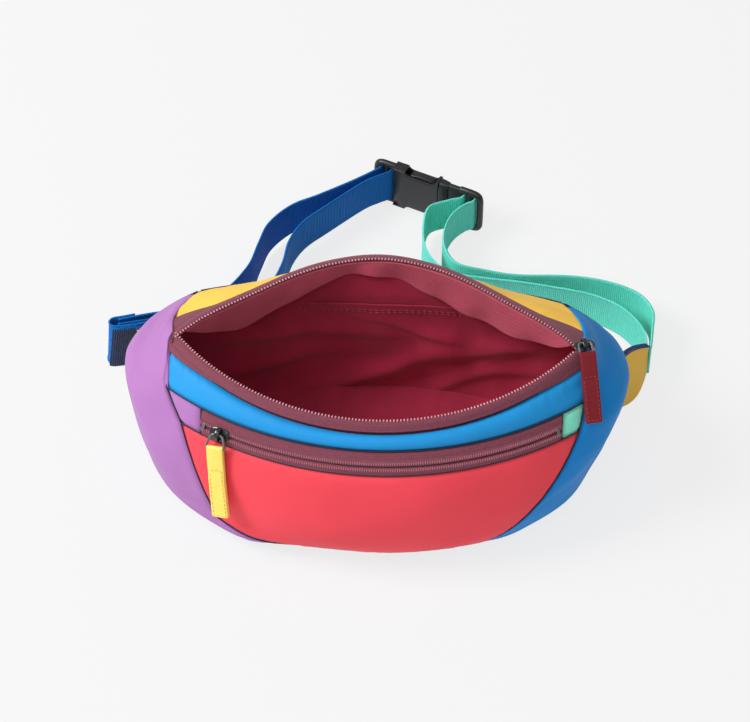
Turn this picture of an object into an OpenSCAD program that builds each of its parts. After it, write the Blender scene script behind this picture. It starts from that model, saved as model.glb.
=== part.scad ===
// Waist pack standing open, with front zip pocket, belt wings, webbing and side release buckle.
// Millimetres. +X to the wearer's right hand side of the front, +Y towards the back, +Z up.

/* [Mouth] */
// Half of the distance between the two ends of the mouth
lip_half = 112; // [95:1:125]
// How far each lip arches away from the line between the mouth's ends
lip_sag = 52; // [40:1:60]
// Height of the mouth's ends above the ground
lip_z = 100; // [94:1:112]
// How far the middle of the front lip hangs below the mouth's ends
front_drop = 8; // [2:0.5:12]
// How far the middle of the back lip stands above the mouth's ends
back_rise = 10; // [2:0.5:14]

/* [Body] */
// Furthest reach of the front pocket panel in front of the mouth's end line
front_reach = 85; // [80:1:92]
// Height at which the front pocket panel reaches furthest
front_reach_z = 30; // [24:1:36]
// Half width of the front pocket panel along its lower part
front_half = 87; // [78:1:92]
// Depth of the back panel's middle behind the mouth's end line
back_depth = 58; // [52:1:64]
// Half width of the back panel at its widest
back_half = 134; // [126:1:138]
// Height of the seam between the top back panel and the back panel
back_seam_z = 88; // [84:1:91]
// Bulge of the left side panel past its seams
gusset_bulge_left = 18; // [12:1:26]
// Bulge of the right side panel past its seams
gusset_bulge_right = 14; // [12:1:26]

/* [Front zip] */
// Radius of the front zip's lower edge about its own centre
zip_r = 193; // [180:1:210]
// Height of the front zip's lower edge
zip_z = 70; // [66:0.5:72]
// Width of the zip band, measured up its slope
zip_w = 13.6; // [12:0.2:15]
// Distance from the lower edge of the band to the middle of the teeth
zip_line = 3.7; // [3.4:0.1:6]
// Slot between the two tapes
zip_slot = 1.2; // [1:0.1:1.6]
// Height and width of one row of coils
coil_size = 1.4; // [1:0.1:1.8]

/* [Cloth] */
// Thickness of the outer fabric
cloth_t = 1.2; // [0.8:0.1:1.6]
// Thickness of the zip tapes
tape_t = 0.8; // [0.6:0.1:1.2]
// Thickness of the lining
lining_t = 0.7; // [0.5:0.1:0.9]
// Thickness of the foam behind the wearer's side
foam_t = 5.5; // [4:0.5:8]
// Clearance between pieces that are sewn to each other
seam_gap = 0.3; // [0.2:0.05:0.4]

/* [Sliders and pulls] */
// Length of a zip slider
slider_l = 12; // [10:0.5:14]
// Width of a zip slider
slider_w = 8.5; // [8:0.5:10]
// Thickness of a slider's top plate
slider_t = 1.6; // [1.2:0.1:2]
// Running clearance of the front slider on its zip
slider_gap = 0.35; // [0.3:0.05:0.5]
// Wire diameter of a pull ring
wire_d = 1.4; // [1.2:0.1:1.6]
// Length of a pull ring between its two bars
ring_l = 8; // [7:0.5:10]
// Length of a pull tab below its ring
tab_l = 40; // [34:1:46]
// Width of a pull tab
tab_w = 10; // [8:0.5:12]
// Thickness of a pull tab
tab_t = 3; // [2.4:0.1:3.4]

/* [Belt] */
// Width of the webbing
web_w = 25; // [23:0.5:26]
// Thickness of the webbing
web_t = 1.3; // [1:0.1:1.5]
// Thickness of a belt wing
wing_t = 2.4; // [1.8:0.1:3]
// Height of a belt wing where it is sewn to the back seam
wing_h = 33; // [26:1:45]

/* [Buckle] */
// Height of the buckle, across the webbing
buckle_h = 33; // [32:0.5:36]
// Thickness of the buckle
buckle_t = 9; // [8:0.5:10]
// Length of the female half
female_l = 40; // [38:1:44]
// Length of the male half's frame outside the female half
male_l = 24; // [22:1:28]
// Wall of the female half
buckle_wall = 1.8; // [1.5:0.1:2]
// Width of the webbing slots
web_slot = 4.6; // [4.2:0.1:5]
// Clearance of the male half in the female half
buckle_gap = 0.4; // [0.3:0.05:0.6]

/* [Hidden] */
$fn = 48;
small = 0.01;

// ---- curves of the mouth ----
lip_r = (lip_half * lip_half + lip_sag * lip_sag) / (2 * lip_sag);
lip_c = lip_r - lip_sag;
front_tilt = asin(front_drop / lip_sag);
back_tilt = asin(back_rise / lip_sag);
chain_w = 3;
chain_h = 1.8;
tape_drop = 3;
tape_run = 4;
tape_off = chain_h / 2 + seam_gap;
mouth_edge_half = lip_half + 3.5;

// A point near the front (side = -1) or back (side = 1) lip: x across, dr outward, dz up
function lip_pt(x, dr, dz, side) =
    let (yy = sqrt(pow(lip_r + dr, 2) - x * x) - lip_c,
         a = side < 0 ? -front_tilt : back_tilt)
    [x, side * (yy * cos(a) - dz * sin(a)), lip_z + yy * sin(a) + dz * cos(a)];

// ---- front zip cone ----
zip_lean = 36;
zip_top_z = zip_z + zip_w * cos(zip_lean);
zip_top_r = zip_r - zip_w * sin(zip_lean);
zip_reach = 71;
zip_c = zip_r - zip_reach;
zip_half_low = 107;
zip_half_top = 116;
function zip_pt(x, v, n = 0) =
    let (r = zip_r - v * sin(zip_lean) + n * cos(zip_lean))
    [x, zip_c - sqrt(r * r - x * x), zip_z + v * cos(zip_lean) + n * sin(zip_lean)];

// ---- front pocket panel ----
front_base = front_reach - 28;
front_r = 200;
front_low_z = 5;
front_corner_z = 20;
function mix(a, b, t) = a + (b - a) * t;
function front_depth(h) = h > front_reach_z
    ? front_reach - (front_reach - (zip_r - zip_c)) * pow((h - front_reach_z) / (zip_z - front_reach_z), 2)
    : front_base + (front_reach - front_base) * sqrt(1 - pow((front_reach_z - h) / front_reach_z, 2));
function front_width(h) = h < front_corner_z ? front_half
    : front_half + (zip_half_low - front_half) * pow((h - front_corner_z) / (zip_z - front_corner_z), 1.3);
function front_curve(h) = mix(front_r, zip_r, max(0, (h - front_reach_z) / (zip_z - front_reach_z)));
function front_pt(x, h) = let (r = front_curve(h)) [x, r - front_depth(h) - sqrt(r * r - x * x), h];
// u runs -1 to 1 across, v runs 0 to 1 from the zip down to the lower seam
function front_panel_pt(u, v) =
    let (low = front_low_z + (front_corner_z - front_low_z) * (1 - sqrt(max(0, 1 - u * u))),
         h = mix(zip_z, low, v))
    front_pt(u * front_width(h), h);

// ---- back panel ----
back_low_z = 4;
back_corner_z = 22;
back_low_half = 135;
back_round = 20;
back_waist_z = 60;
back_top_half = 104;
back_lean = 5;
function back_width(h) = h > back_waist_z
    ? mix(back_half, back_top_half, pow((h - back_waist_z) / (back_seam_z - back_waist_z), 2))
    : mix(back_low_half, back_half, min(1, (h - back_corner_z) / (back_waist_z - back_corner_z)));
function back_y(x, h) =
    let (t = abs(x) / back_half,
         lean = h > back_waist_z ? back_lean * pow((h - back_waist_z) / (back_seam_z - back_waist_z), 2) : 0,
         tuck = h < 40 ? 7 * pow((40 - h) / 40, 2) : 0)
    back_depth - back_round * pow(t, 2.5) - lean * t * t - tuck;
function back_pt(x, h) = [x, back_y(x, h), h];
function back_panel_pt(u, v) =
    let (low = back_low_z + (back_corner_z - back_low_z) * (1 - sqrt(max(0, 1 - u * u))),
         h = mix(back_seam_z, low, v),
         w = h < back_corner_z ? back_low_half : back_width(h))
    back_pt(u * w, h);

// ---- side gusset, s runs 0 at the mouth's end to 1 under the middle, t 0 front to 1 back ----
zip_share = 0.14;
strip_share = 0.1;
side_share = 0.62;
seam_shift = 0.04;
base_bulge = 6.5;
function seam_front(s) =
    s < strip_share ? mix(lip_pt(mouth_edge_half, tape_run, -tape_drop - tape_off, -1),
        zip_pt(zip_half_top, zip_w), s / strip_share)
    : s < zip_share + strip_share ? mix(zip_pt(zip_half_top, zip_w), zip_pt(zip_half_low, 0),
        (s - strip_share) / zip_share)
    : s < side_share ? let (h = mix(zip_z, front_corner_z,
        (s - zip_share - strip_share) / (side_share - zip_share - strip_share))) front_pt(front_width(h), h)
    : let (b = 90 * (1 - s) / (1 - side_share))
      front_pt(front_half * sin(b), front_corner_z - (front_corner_z - front_low_z) * cos(b));
function seam_back(s) =
    s < side_share ? let (h = mix(back_seam_z, back_corner_z, s / side_share)) back_pt(back_width(h), h)
    : let (b = 90 * (1 - s) / (1 - side_share))
      back_pt(back_low_half * sin(b), back_corner_z - (back_corner_z - back_low_z) * cos(b));
function arch(s, t, bulge) =
    let (a = seam_front(s), b = seam_back(s),
         k = s < side_share ? 90 : 90 * (1 - s) / (1 - side_share),
         q = s < 0.2 ? mix(0.35, 1, s / 0.2) : 1,
         lift = (base_bulge + (bulge - base_bulge) * pow(sin(k), 4)) * q * (1 - pow(abs(2 * t - 1), 2.6)))
    mix(a, b, t) + lift * [sin(k) * 0.97, -0.24 * sin(k), -cos(k)];
mouth_end = lip_pt(lip_half + 3, 1, 0, -1);
function gusset_top(t) = t < 0.14 ? mix(seam_front(0), mouth_end, t / 0.14)
    : mix(mouth_end, seam_back(0), (t - 0.14) / 0.86);
function gusset_pt(s, t, bulge) =
    let (p = arch(s, t, bulge) + (gusset_top(t) - arch(0, t, bulge)) * pow(max(0, 1 - s / 0.3), 2))
    [p[0], p[1], max(p[2], 0)];

// ---- cloth shells ----
function unit(v) = v / max(norm(v), small * small);
function grid_normal(g, i, j) =
    let (m = len(g) - 1, n = len(g[0]) - 1,
         a = g[min(i + 1, m)][j] - g[max(i - 1, 0)][j],
         b = g[i][min(j + 1, n)] - g[i][max(j - 1, 0)])
    unit(cross(b, a));
// Pulls the edge points of a grid back from the seam
function trimmed(g, gap) =
    let (m = len(g) - 1, n = len(g[0]) - 1,
         r = [for (i = [0:m]) [for (j = [0:n]) g[i][j]
            + (j == 0 ? gap * unit(g[i][1] - g[i][0]) : j == n ? gap * unit(g[i][n - 1] - g[i][n]) : [0, 0, 0])
            + (i == 0 ? gap * unit(g[1][j] - g[0][j]) : i == m ? gap * unit(g[m - 1][j] - g[m][j]) : [0, 0, 0])]])
    r;
// Closed shell between two depths below the outer face of a grid; up = 1 or -1 picks the outer side
module shell(g, near, far, up = 1) {
    m = len(g) - 1;
    n = len(g[0]) - 1;
    w = n + 1;
    all = (m + 1) * w;
    normals = [for (i = [0:m]) [for (j = [0:n]) up * grid_normal(g, i, j)]];
    outer = [for (i = [0:m]) for (j = [0:n]) g[i][j] - near * normals[i][j]];
    inner = [for (i = [0:m]) for (j = [0:n]) g[i][j] - far * normals[i][j]];
    quads = [for (i = [0:m - 1]) for (j = [0:n - 1]) [i * w + j, i * w + j + 1, (i + 1) * w + j + 1, (i + 1) * w + j]];
    rim = concat([for (j = [0:n]) j], [for (i = [1:m]) i * w + n], [for (j = [1:n]) m * w + n - j],
        [for (i = [1:m - 1]) (m - i) * w]);
    k = len(rim);
    tri = [for (q = quads) each [[q[0], q[1], q[2]], [q[0], q[2], q[3]]]];
    faces = concat([for (f = tri) [f[2], f[1], f[0]]], [for (f = tri) [f[0] + all, f[1] + all, f[2] + all]],
        [for (e = [0:k - 1]) let (a = rim[e], b = rim[(e + 1) % k]) each [[a, b, b + all], [a, b + all, a + all]]]);
    polyhedron(concat(outer, inner), up > 0 ? faces : [for (f = faces) [f[2], f[1], f[0]]], convexity = 6);
}
function flipped(g) = [for (row = g) [for (p = row) [-p[0], p[1], p[2]]]];

across = 18;
function span(j, n) = sin(mix(-90, 90, j / n));
function pocket_grid(n, m) = [for (i = [0:m]) [for (j = [0:n]) front_panel_pt(span(j, n), i / m)]];
function strip_grid(n, m) = [for (i = [0:m]) [for (j = [0:n])
    let (u = 2 * j / n - 1, t = i / m,
         a = lip_pt(mouth_edge_half * u, tape_run, -tape_drop - tape_off, -1), b = zip_pt(zip_half_top * u, zip_w),
         puff = 2.2 * sin(180 * t) * (1 - pow(abs(u), 4)))
    mix(a, b, t) + [0, -puff * 0.6, puff * 0.8]]];
function gusset_grid(n, m, s1, bulge, s0 = 0) =
    [for (i = [0:m]) [for (j = [0:n]) gusset_pt(mix(s0, s1, i / m), j / n, bulge)]];
function back_grid(n, m, inset = 0) =
    let (k = inset / (back_seam_z - back_low_z))
    [for (i = [0:m]) [for (j = [0:n]) back_panel_pt(span(j, n) * (1 - inset / back_half), mix(k, 1 - k, i / m))]];
function yellow_grid(n, m) = [for (i = [0:m]) [for (j = [0:n])
    let (u = 2 * j / n - 1, t = i / m,
         a = lip_pt(mouth_edge_half * u, tape_run, -tape_drop - tape_off, 1), b = back_pt(back_top_half * u, back_seam_z),
         puff = 2.5 * sin(180 * t) * (1 - pow(abs(u), 4)))
    mix(a, b, t) + [0, puff * 0.5, puff * 0.85]]];

module front_pocket_panel() {
    color("crimson") shell(trimmed(pocket_grid(across, 8), seam_gap), 0, cloth_t, -1);
}
module upper_front_panel() {
    color("deepskyblue") shell(trimmed(strip_grid(across, 3), seam_gap), 0, cloth_t, -1);
}
module gusset_left() {
    g = gusset_grid(10, 22, 1 + seam_shift, gusset_bulge_left);
    color("mediumorchid") shell(flipped(trimmed(g, seam_gap)), 0, cloth_t, 1);
}
module gusset_right() {
    g = gusset_grid(10, 22, 1 - seam_shift, gusset_bulge_right);
    color("dodgerblue") shell(trimmed(g, seam_gap), 0, cloth_t, -1);
}
module top_back_panel() {
    color("gold") shell(trimmed(yellow_grid(across, 3), 2 * seam_gap), 0, cloth_t, 1);
}
module back_panel() {
    color("navy") shell(trimmed(back_grid(across, 6), seam_gap + cloth_t * 0.75), 0, cloth_t, 1);
}
module back_foam() {
    color("dimgray") shell(back_grid(across, 6, 4), cloth_t + seam_gap, cloth_t + seam_gap + foam_t, 1);
}

// ---- main zip ----
module lip_frame(side) {
    translate([0, 0, lip_z])
        mirror([0, side > 0 ? 1 : 0, 0]) rotate([side > 0 ? -back_tilt : front_tilt, 0, 0])
            translate([0, lip_c, 0]) children();
}
module arc_band(half_angle, points) {
    rotate([0, 0, -90 - half_angle]) rotate_extrude(angle = 2 * half_angle, $fn = 180) polygon(points);
}
chain_angle = asin((lip_half - 3) / lip_r);
tooth_pitch = 1.86;
tooth_head = 1.24;
tooth_leg = 0.8;
tooth_root = 0.3;
cord_w = 1.4;
cord_h = 1;
// One tooth of the coil: a wide head toward the mouth and a narrow leg sewn over the cord
module tooth() {
    linear_extrude(chain_h, center = true) polygon([
        [-chain_w / 2, -tooth_leg / 2], [tooth_head / 2 - chain_w / 2, -tooth_head / 2], [chain_w / 2 - tooth_root, -tooth_leg / 2],
        [chain_w / 2 - tooth_root, tooth_leg / 2], [tooth_head / 2 - chain_w / 2, tooth_head / 2], [-chain_w / 2, tooth_leg / 2]]);
}
module main_chain(side) {
    teeth = floor(chain_angle * PI / 90 * lip_r / tooth_pitch);
    color("palevioletred") lip_frame(side) {
        arc_band(chain_angle, [[lip_r + chain_w / 2 - cord_w, -cord_h / 2], [lip_r + chain_w / 2, -cord_h / 2],
            [lip_r + chain_w / 2, cord_h / 2], [lip_r + chain_w / 2 - cord_w, cord_h / 2]]);
        for (i = [0:teeth - 1])
            rotate([0, 0, -90 + chain_angle * (2 * (i + 0.5) / teeth - 1)]) translate([lip_r, 0, 0]) tooth();
    }
}
module main_chain_front() { main_chain(-1); }
module main_chain_back() { main_chain(1); }
tape_angle = asin((lip_half + 1) / (lip_r + tape_run));
module main_tape(side) {
    nx = tape_t * tape_drop / norm([tape_run, tape_drop]);
    nz = tape_t * tape_run / norm([tape_run, tape_drop]);
    color("maroon") lip_frame(side)
        arc_band(tape_angle, [[lip_r, -tape_off], [lip_r + tape_run, -tape_off - tape_drop],
            [lip_r + tape_run - nx, -tape_off - tape_drop - nz], [lip_r - nx, -tape_off - nz]]);
}
module main_tape_front() { main_tape(-1); }
module main_tape_back() { main_tape(1); }

// ---- front zip ----
function slope(v, n) = [zip_r - v * sin(zip_lean) + n * cos(zip_lean), v * cos(zip_lean) + n * sin(zip_lean)];
module cone_band(a0, a1, points) {
    translate([0, zip_c, zip_z]) rotate([0, 0, -90 + a0])
        rotate_extrude(angle = a1 - a0, $fn = 220) polygon([for (p = points) slope(p[0], p[1])]);
}
function rect(v0, v1, n0, n1) = [[v0, n0], [v1, n0], [v1, n1], [v0, n1]];
end_w_left = 12;
end_w_right = 4;
zip_left = end_w_left - zip_half_low;
zip_right = zip_half_low - end_w_right;
zip_a0 = asin(zip_left / zip_r);
zip_a1 = asin(zip_right / zip_r);
module front_zip_tape_upper() {
    color("maroon") cone_band(zip_a0, zip_a1, rect(zip_line + zip_slot / 2, zip_w - seam_gap, -tape_t, 0));
}
module front_zip_tape_lower() {
    color("maroon") cone_band(zip_a0, zip_a1, rect(seam_gap, zip_line - zip_slot / 2, -tape_t, 0));
}
module front_zip_coils() {
    color("rosybrown") for (k = [-1, 1])
        cone_band(zip_a0, zip_a1, k > 0
            ? rect(zip_line + zip_slot / 2, zip_line + zip_slot / 2 + coil_size, -tape_t - coil_size, -tape_t)
            : rect(zip_line - zip_slot / 2 - coil_size, zip_line - zip_slot / 2, -tape_t - coil_size, -tape_t));
}
stop_l = 2.4;
slider_home = zip_a0 + asin((slider_l / 2 + stop_l + 1) / zip_r);
module front_zip_stops() {
    a = asin(stop_l / zip_r);
    color("black") for (s = [zip_a0 + small, zip_a1 - a - small])
        cone_band(s, s + a, rect(zip_line - 2.4, zip_line + 2.4, 0.02, 0.9));
}
module zip_end(x_in, side, name) {
    g = [for (i = [0:3]) [for (j = [0:3]) let (v = mix(0, zip_w, i / 3),
        x = mix(x_in, side * mix(zip_half_low, zip_half_top, i / 3), j / 3)) zip_pt(x, v)]];
    color(name) shell(trimmed(g, seam_gap), 0, cloth_t, side);
}
module zip_end_left() { zip_end(zip_left, -1, "mediumorchid"); }
module zip_end_right() { zip_end(zip_right, 1, "mediumaquamarine"); }

// ---- lining ----
under_plate = 1.3;
slider_under = tape_t + coil_size + slider_gap;
bag_depth = slider_under + under_plate + seam_gap;
front_lining_depth = bag_depth + lining_t + 2 * seam_gap;
function lining_front_grid() =
    let (a = strip_grid(12, 2), z = [for (i = [1:2]) [for (j = [0:12])
            let (t = i / 2, v = zip_w * (1 - t)) zip_pt(mix(zip_half_top, zip_half_low, t) * (2 * j / 12 - 1), v)]],
         p = [for (i = [1:5]) [for (j = [0:12]) front_panel_pt(2 * j / 12 - 1, i / 5)]])
    concat(a, z, p);
module lining_front() {
    color("brown") shell(trimmed(lining_front_grid(), 2), front_lining_depth, front_lining_depth + lining_t, -1);
}
side_depth = cloth_t + 3 * seam_gap;
module lining_right() {
    g = gusset_grid(6, 14, 1 - seam_shift, gusset_bulge_right, 0.06);
    color("brown") shell(trimmed(g, 3), side_depth, side_depth + lining_t, -1);
}
module lining_left() {
    g = gusset_grid(6, 14, 1 + seam_shift, gusset_bulge_left, 0.06);
    color("brown") shell(flipped(trimmed(g, 3)), side_depth, side_depth + lining_t, 1);
}
back_lining_depth = cloth_t + foam_t + 2 * seam_gap;
module lining_back() {
    color("brown") shell(back_grid(across, 6, 3.5), back_lining_depth, back_lining_depth + lining_t, 1);
}
facing_h = 24;
module lip_facing() {
    g = [for (i = [0:3]) [for (j = [0:14]) let (u = 2 * j / 14 - 1, p = lip_pt(lip_half * 0.9 * u, -0.6, -1.8, 1))
        p + [0, i * 0.6 * (1 - u * u), -facing_h * i / 3 * (1 - 0.75 * u * u)]]];
    color("indianred") shell(g, 0, lining_t, 1);
}
pocket_w = 130;
pocket_h = 44;
module inner_pocket() {
    top = 66;
    g = [for (i = [0:4]) [for (j = [0:10]) let (x = pocket_w * (j / 10 - 0.5))
        back_pt(x, top - pocket_h * i / 4)]];
    depth = back_lining_depth + lining_t + seam_gap;
    color("firebrick") shell(g, depth, depth + lining_t, 1);
}
pocket_inset = 7;
module front_pocket_bag() {
    rows = 6;
    half = zip_half_low - pocket_inset;
    g = concat([for (i = [0:1]) [for (j = [0:12]) zip_pt(mix(-1, 1, j / 12) * half, zip_w * (1 - i / 2))]],
        [for (i = [0:rows]) [for (j = [0:12]) front_panel_pt((2 * j / 12 - 1) * 0.9, 0.8 * i / rows)]]);
    color("brown") shell(g, bag_depth, bag_depth + lining_t, -1);
}

// ---- sliders, rings and tabs ----
bridge_h = 3.6;
ring_play = 0.9;
plate_sides = 16;
// Half width of a slider's plate: u runs from -1 at its round nose to 1 at its narrower tail
function plate_half(u) = slider_w / 2 * (0.94 - 0.08 * u) * sqrt(1 - pow(abs(u), 3.2));
function plate_edge(side) = [for (i = [0:plate_sides - 1])
    let (u = -side * cos(180 * i / plate_sides)) [u * slider_l / 2, -side * plate_half(u)]];
module slider_plate(z0, t) {
    translate([0, 0, z0]) linear_extrude(t) polygon(concat(plate_edge(1), plate_edge(-1)));
}
bridge_w = 2.6;
bridge_l = 8;
module slider_bridge() {
    difference() {
        translate([-bridge_w / 2, 0, 0]) rotate([90, 0, 90]) linear_extrude(bridge_w)
            polygon([for (a = [0:12:180]) [bridge_l / 2 * cos(a), bridge_h * pow(sin(a), 0.6)]]);
        translate([-2, 0, bridge_h / 2]) rotate([0, 90, 0]) cylinder(d = wire_d + ring_play, h = 4, $fn = 32);
    }
}
crown_h = 0.5;
module slider_top() {
    slider_plate(slider_gap, slider_t - crown_h);
    translate([0, 0, slider_gap + slider_t - crown_h - small]) linear_extrude(crown_h + small, scale = 0.8)
        polygon(concat(plate_edge(1), plate_edge(-1)));
}
neck_l = 2.6;
neck_t = 0.7;
module slider_body(under) {
    slider_top();
    translate([0, 0, slider_gap + slider_t - small]) slider_bridge();
    translate([1 - slider_l / 2, -neck_t / 2, -under - small]) cube([neck_l, neck_t, under + slider_gap + 2 * small]);
    slider_plate(-under - under_plate, under_plate);
}
ring_n = slider_gap + slider_t + bridge_h / 2;
ring_in_w = 6.6;
// Wire frame hanging from its first bar, which lies along X at the origin
module wire_frame() {
    w = ring_in_w + wire_d;
    r = 1.2;
    for (y = [0, -ring_l]) translate([-w / 2 + r, y, 0]) rotate([0, 90, 0]) cylinder(d = wire_d, h = w - 2 * r, $fn = 24);
    for (x = [-w / 2, w / 2]) translate([x, -r, 0]) rotate([90, 0, 0]) cylinder(d = wire_d, h = ring_l - 2 * r, $fn = 24);
    for (k = [[1, 0, 0], [-1, 0, 90], [-1, 1, 180], [1, 1, 270]])
        translate([k[0] * (w / 2 - r), k[1] > 0 ? -ring_l + r : -r, 0]) rotate([0, 0, k[2]])
            rotate_extrude(angle = 90, $fn = 48) translate([r, 0]) circle(d = wire_d, $fn = 24);
}
tab_loop_w = ring_in_w - 0.6;
tab_hole = wire_d + 1;
// Folded fabric tab hanging from the ring's lower bar at the origin
module tab_shape() {
    difference() {
        union() {
            translate([-tab_loop_w / 2, 0, 0]) rotate([0, 90, 0]) cylinder(d = tab_t + 0.6, h = tab_loop_w, $fn = 36);
            translate([-tab_loop_w / 2, -4, -tab_t / 2]) cube([tab_loop_w, 4, tab_t]);
            translate([0, -3.4, -tab_t / 2]) linear_extrude(tab_t)
                polygon([[-tab_w / 2 + 1.5, 0], [tab_w / 2 - 1.5, 0], [tab_w / 2, -1.5], [tab_w / 2, -tab_l + 1],
                    [tab_w / 2 - 1, -tab_l], [-tab_w / 2 + 1, -tab_l], [-tab_w / 2, -tab_l + 1], [-tab_w / 2, -1.5]]);
        }
        translate([-tab_w, 0, 0]) rotate([0, 90, 0]) cylinder(d = tab_hole, h = 2 * tab_w, $fn = 36);
    }
}
// Frame on the front zip: X along the zip, Y up the slope, Z outward
module on_front_zip() {
    translate([0, zip_c, zip_z]) rotate([0, 0, slider_home])
        translate([0, -(zip_r - zip_line * sin(zip_lean)), zip_line * cos(zip_lean)])
            rotate([90 - zip_lean, 0, 0]) children();
}
module front_slider() { color("black") on_front_zip() slider_body(slider_under); }
front_ring_hang = -2;
front_tab_hang = -10;
front_sway = 8;
module on_front_ring() {
    on_front_zip() translate([0, 0, ring_n]) rotate([0, 0, front_sway]) rotate([-front_ring_hang, 0, 0]) children();
}
module front_pull_ring() { color("dimgray") on_front_ring() wire_frame(); }
module front_pull_tab() {
    color("gold") on_front_ring() translate([0, -ring_l, 0])
        rotate([-front_tab_hang, 0, 0]) rotate([0, 0, front_sway]) tab_shape();
}
// Frame on the main zip's parked slider at the right end of the mouth
main_turn = 12;
module on_main_zip() { translate([lip_half + 1.5, 0, lip_z + chain_h / 2]) rotate([0, 0, main_turn]) children(); }
module main_slider() {
    color("black") on_main_zip() {
        slider_top();
        translate([0, 0, slider_gap + slider_t - small]) slider_bridge();
    }
}
main_ring_hang = 9;
module on_main_ring() {
    on_main_zip() translate([0, 0, ring_n]) rotate([main_ring_hang, 0, 0]) children();
}
module main_pull_ring() { color("dimgray") on_main_ring() wire_frame(); }
main_tab_hang = 39;
module main_pull_tab() {
    color("darkred") on_main_ring() translate([0, -ring_l, 0]) rotate([main_tab_hang, 0, 0]) tab_shape();
}

// ---- belt ----
strap_z = 0.3;
wing_tip_x = 157;
wing_tip_y = 68;
function wing_root(h) = let (s = side_share * (back_seam_z - max(h, back_corner_z)) / (back_seam_z - back_corner_z),
    p = seam_back(s)) [p[0] + seam_gap / 2, p[1] + seam_gap / 2, h];
module wing(side, name) {
    g = [for (i = [0:4]) [for (j = [0:5])
        let (t = j / 5, q = i / 4,
             root = wing_root(mix(wing_h + 4, 4, q)),
             tip = [wing_tip_x, wing_tip_y, mix(strap_z + web_w, strap_z, q)])
        let (p = mix(root, tip, t)) [side * p[0], p[1], p[2] + 2 * sin(180 * t) * (0.5 - q)]]];
    color(name) shell(g, 0, wing_t, side < 0 ? 1 : -1);
}
module wing_left() { wing(-1, "gold"); }
module wing_right() { wing(1, "orange"); }
function catmull(p, i, t) =
    let (n = len(p) - 1, a = p[max(i - 1, 0)], b = p[i], c = p[min(i + 1, n)], d = p[min(i + 2, n)])
    0.5 * (2 * b + (c - a) * t + (2 * a - 5 * b + 4 * c - d) * t * t + (3 * b - a - 3 * c + d) * t * t * t);
function smooth(p, k) = concat([for (i = [0:len(p) - 2]) for (q = [0:k - 1]) catmull(p, i, q / k)], [p[len(p) - 1]]);
// How far the webbing's lower edge is raised near the buckle
function lift_at(p) = web_lift * max(0, min(1, (lift_far - norm([p[0] - buckle_x, p[1] - buckle_y])) / lift_run));
lift_far = 115;
lift_run = 55;
// Webbing standing on edge along a path in plan
module webbing(route, k = 3) {
    path = smooth(route, k);
    n = len(path) - 1;
    side = [for (i = [0:n]) let (d = unit(path[min(i + 1, n)] - path[max(i - 1, 0)])) [-d[1], d[0]]];
    ring = [for (i = [0:n]) let (a = path[i] + side[i] * web_t / 2, b = path[i] - side[i] * web_t / 2,
        low = strap_z + lift_at(path[i]))
        each [[a[0], a[1], low], [b[0], b[1], low], [b[0], b[1], low + web_w], [a[0], a[1], low + web_w]]];
    faces = concat([[2, 1, 0], [3, 2, 0]],
        [for (i = [0:n - 1]) for (e = [0:3]) let (a = 4 * i + e, b = 4 * i + (e + 1) % 4)
            each [[b + 4, a + 4, a], [b, b + 4, a]]],
        [[4 * n, 4 * n + 1, 4 * n + 2], [4 * n, 4 * n + 2, 4 * n + 3]]);
    polyhedron(ring, faces, convexity = 10);
}
// Buckle frame: X from the female end to the male end, Y through its thickness, Z up
buckle_x = -6;
buckle_y = 208;
buckle_turn = -23.8;
buckle_z = strap_z + buckle_h / 2;
web_lift = (buckle_h - web_w) / 2;
bar_w = 4;
web_room = web_w + 1.6;
buckle_bar = 5.2;
// A point in plan given along and across the buckle
function by_buckle(x, y) = [buckle_x + x * cos(buckle_turn) - y * sin(buckle_turn),
    buckle_y + x * sin(buckle_turn) + y * cos(buckle_turn)];
web_off = buckle_bar / 2 + web_t / 2 + 0.5;
slot_mid = bar_w + web_slot / 2;
buckle_end = female_l + male_l;
wing_edge = wing_tip_y + 0.65 * wing_t;
LEFT_ROUTE = [[-wing_tip_x - 0.5, wing_edge + 6.2], [-140, 82], [-117, 91.5], [-97, 104.5], [-84, 122], [-79, 140],
    [-74, 156], [-62, 170], [-45, 180], by_buckle(-11, -21), by_buckle(-3.4, -7), by_buckle(-1.9, -1.5), by_buckle(-1.2, 2.9),
    by_buckle(bar_w / 2, web_off), by_buckle(slot_mid - 0.5, web_off - 1.2), by_buckle(slot_mid, 0),
    by_buckle(slot_mid - 0.7, 0.2 - web_off), by_buckle(1.8, -9.5), by_buckle(-4.5, -20), [-40, 170], [-53, 156.5],
    [-60, 142], [-63, 124], [-70, 107], [-86, 93], [-110, 84.5], [-138, 76.5],
    [-wing_tip_x - 0.5, wing_edge + 0.25], [-wing_tip_x - 3.4, wing_edge + 1.5], [-wing_tip_x - 4.4, wing_edge + 3.6],
    [-wing_tip_x - 3.4, wing_edge + 5.6], [-wing_tip_x - 1.9, wing_edge + 6.1]];
RIGHT_ROUTE = [[wing_tip_x + 1.2, wing_tip_y + 0.4], [159.5, 82], [160, 97], [152, 110], [135, 118.5], [112, 122.5],
    [81, 122], [60, 124.5], [42, 129], [34.5, 142], [34.5, 156], [39, 168], by_buckle(buckle_end - 2.5, -8), by_buckle(buckle_end + 1.4, -3),
    by_buckle(buckle_end + 0.9, 2.6), by_buckle(buckle_end - bar_w / 2, web_off + 0.2),
    by_buckle(buckle_end - slot_mid + 0.4, web_off - 1.2), by_buckle(buckle_end - slot_mid - 0.1, 0),
    by_buckle(buckle_end - slot_mid - 0.6, -web_off), by_buckle(buckle_end - 14, -9.5),
    [24.5, 173], [21.5, 158], [23, 140], [31, 127], [44, 120.5], [60, 118.5], [77, 117], [100, 113.5],
    [123, 108.5], [140, 100], [151, 88], [155.2, 78], [wing_tip_x - 1.1, wing_edge + 0.8]];
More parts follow.
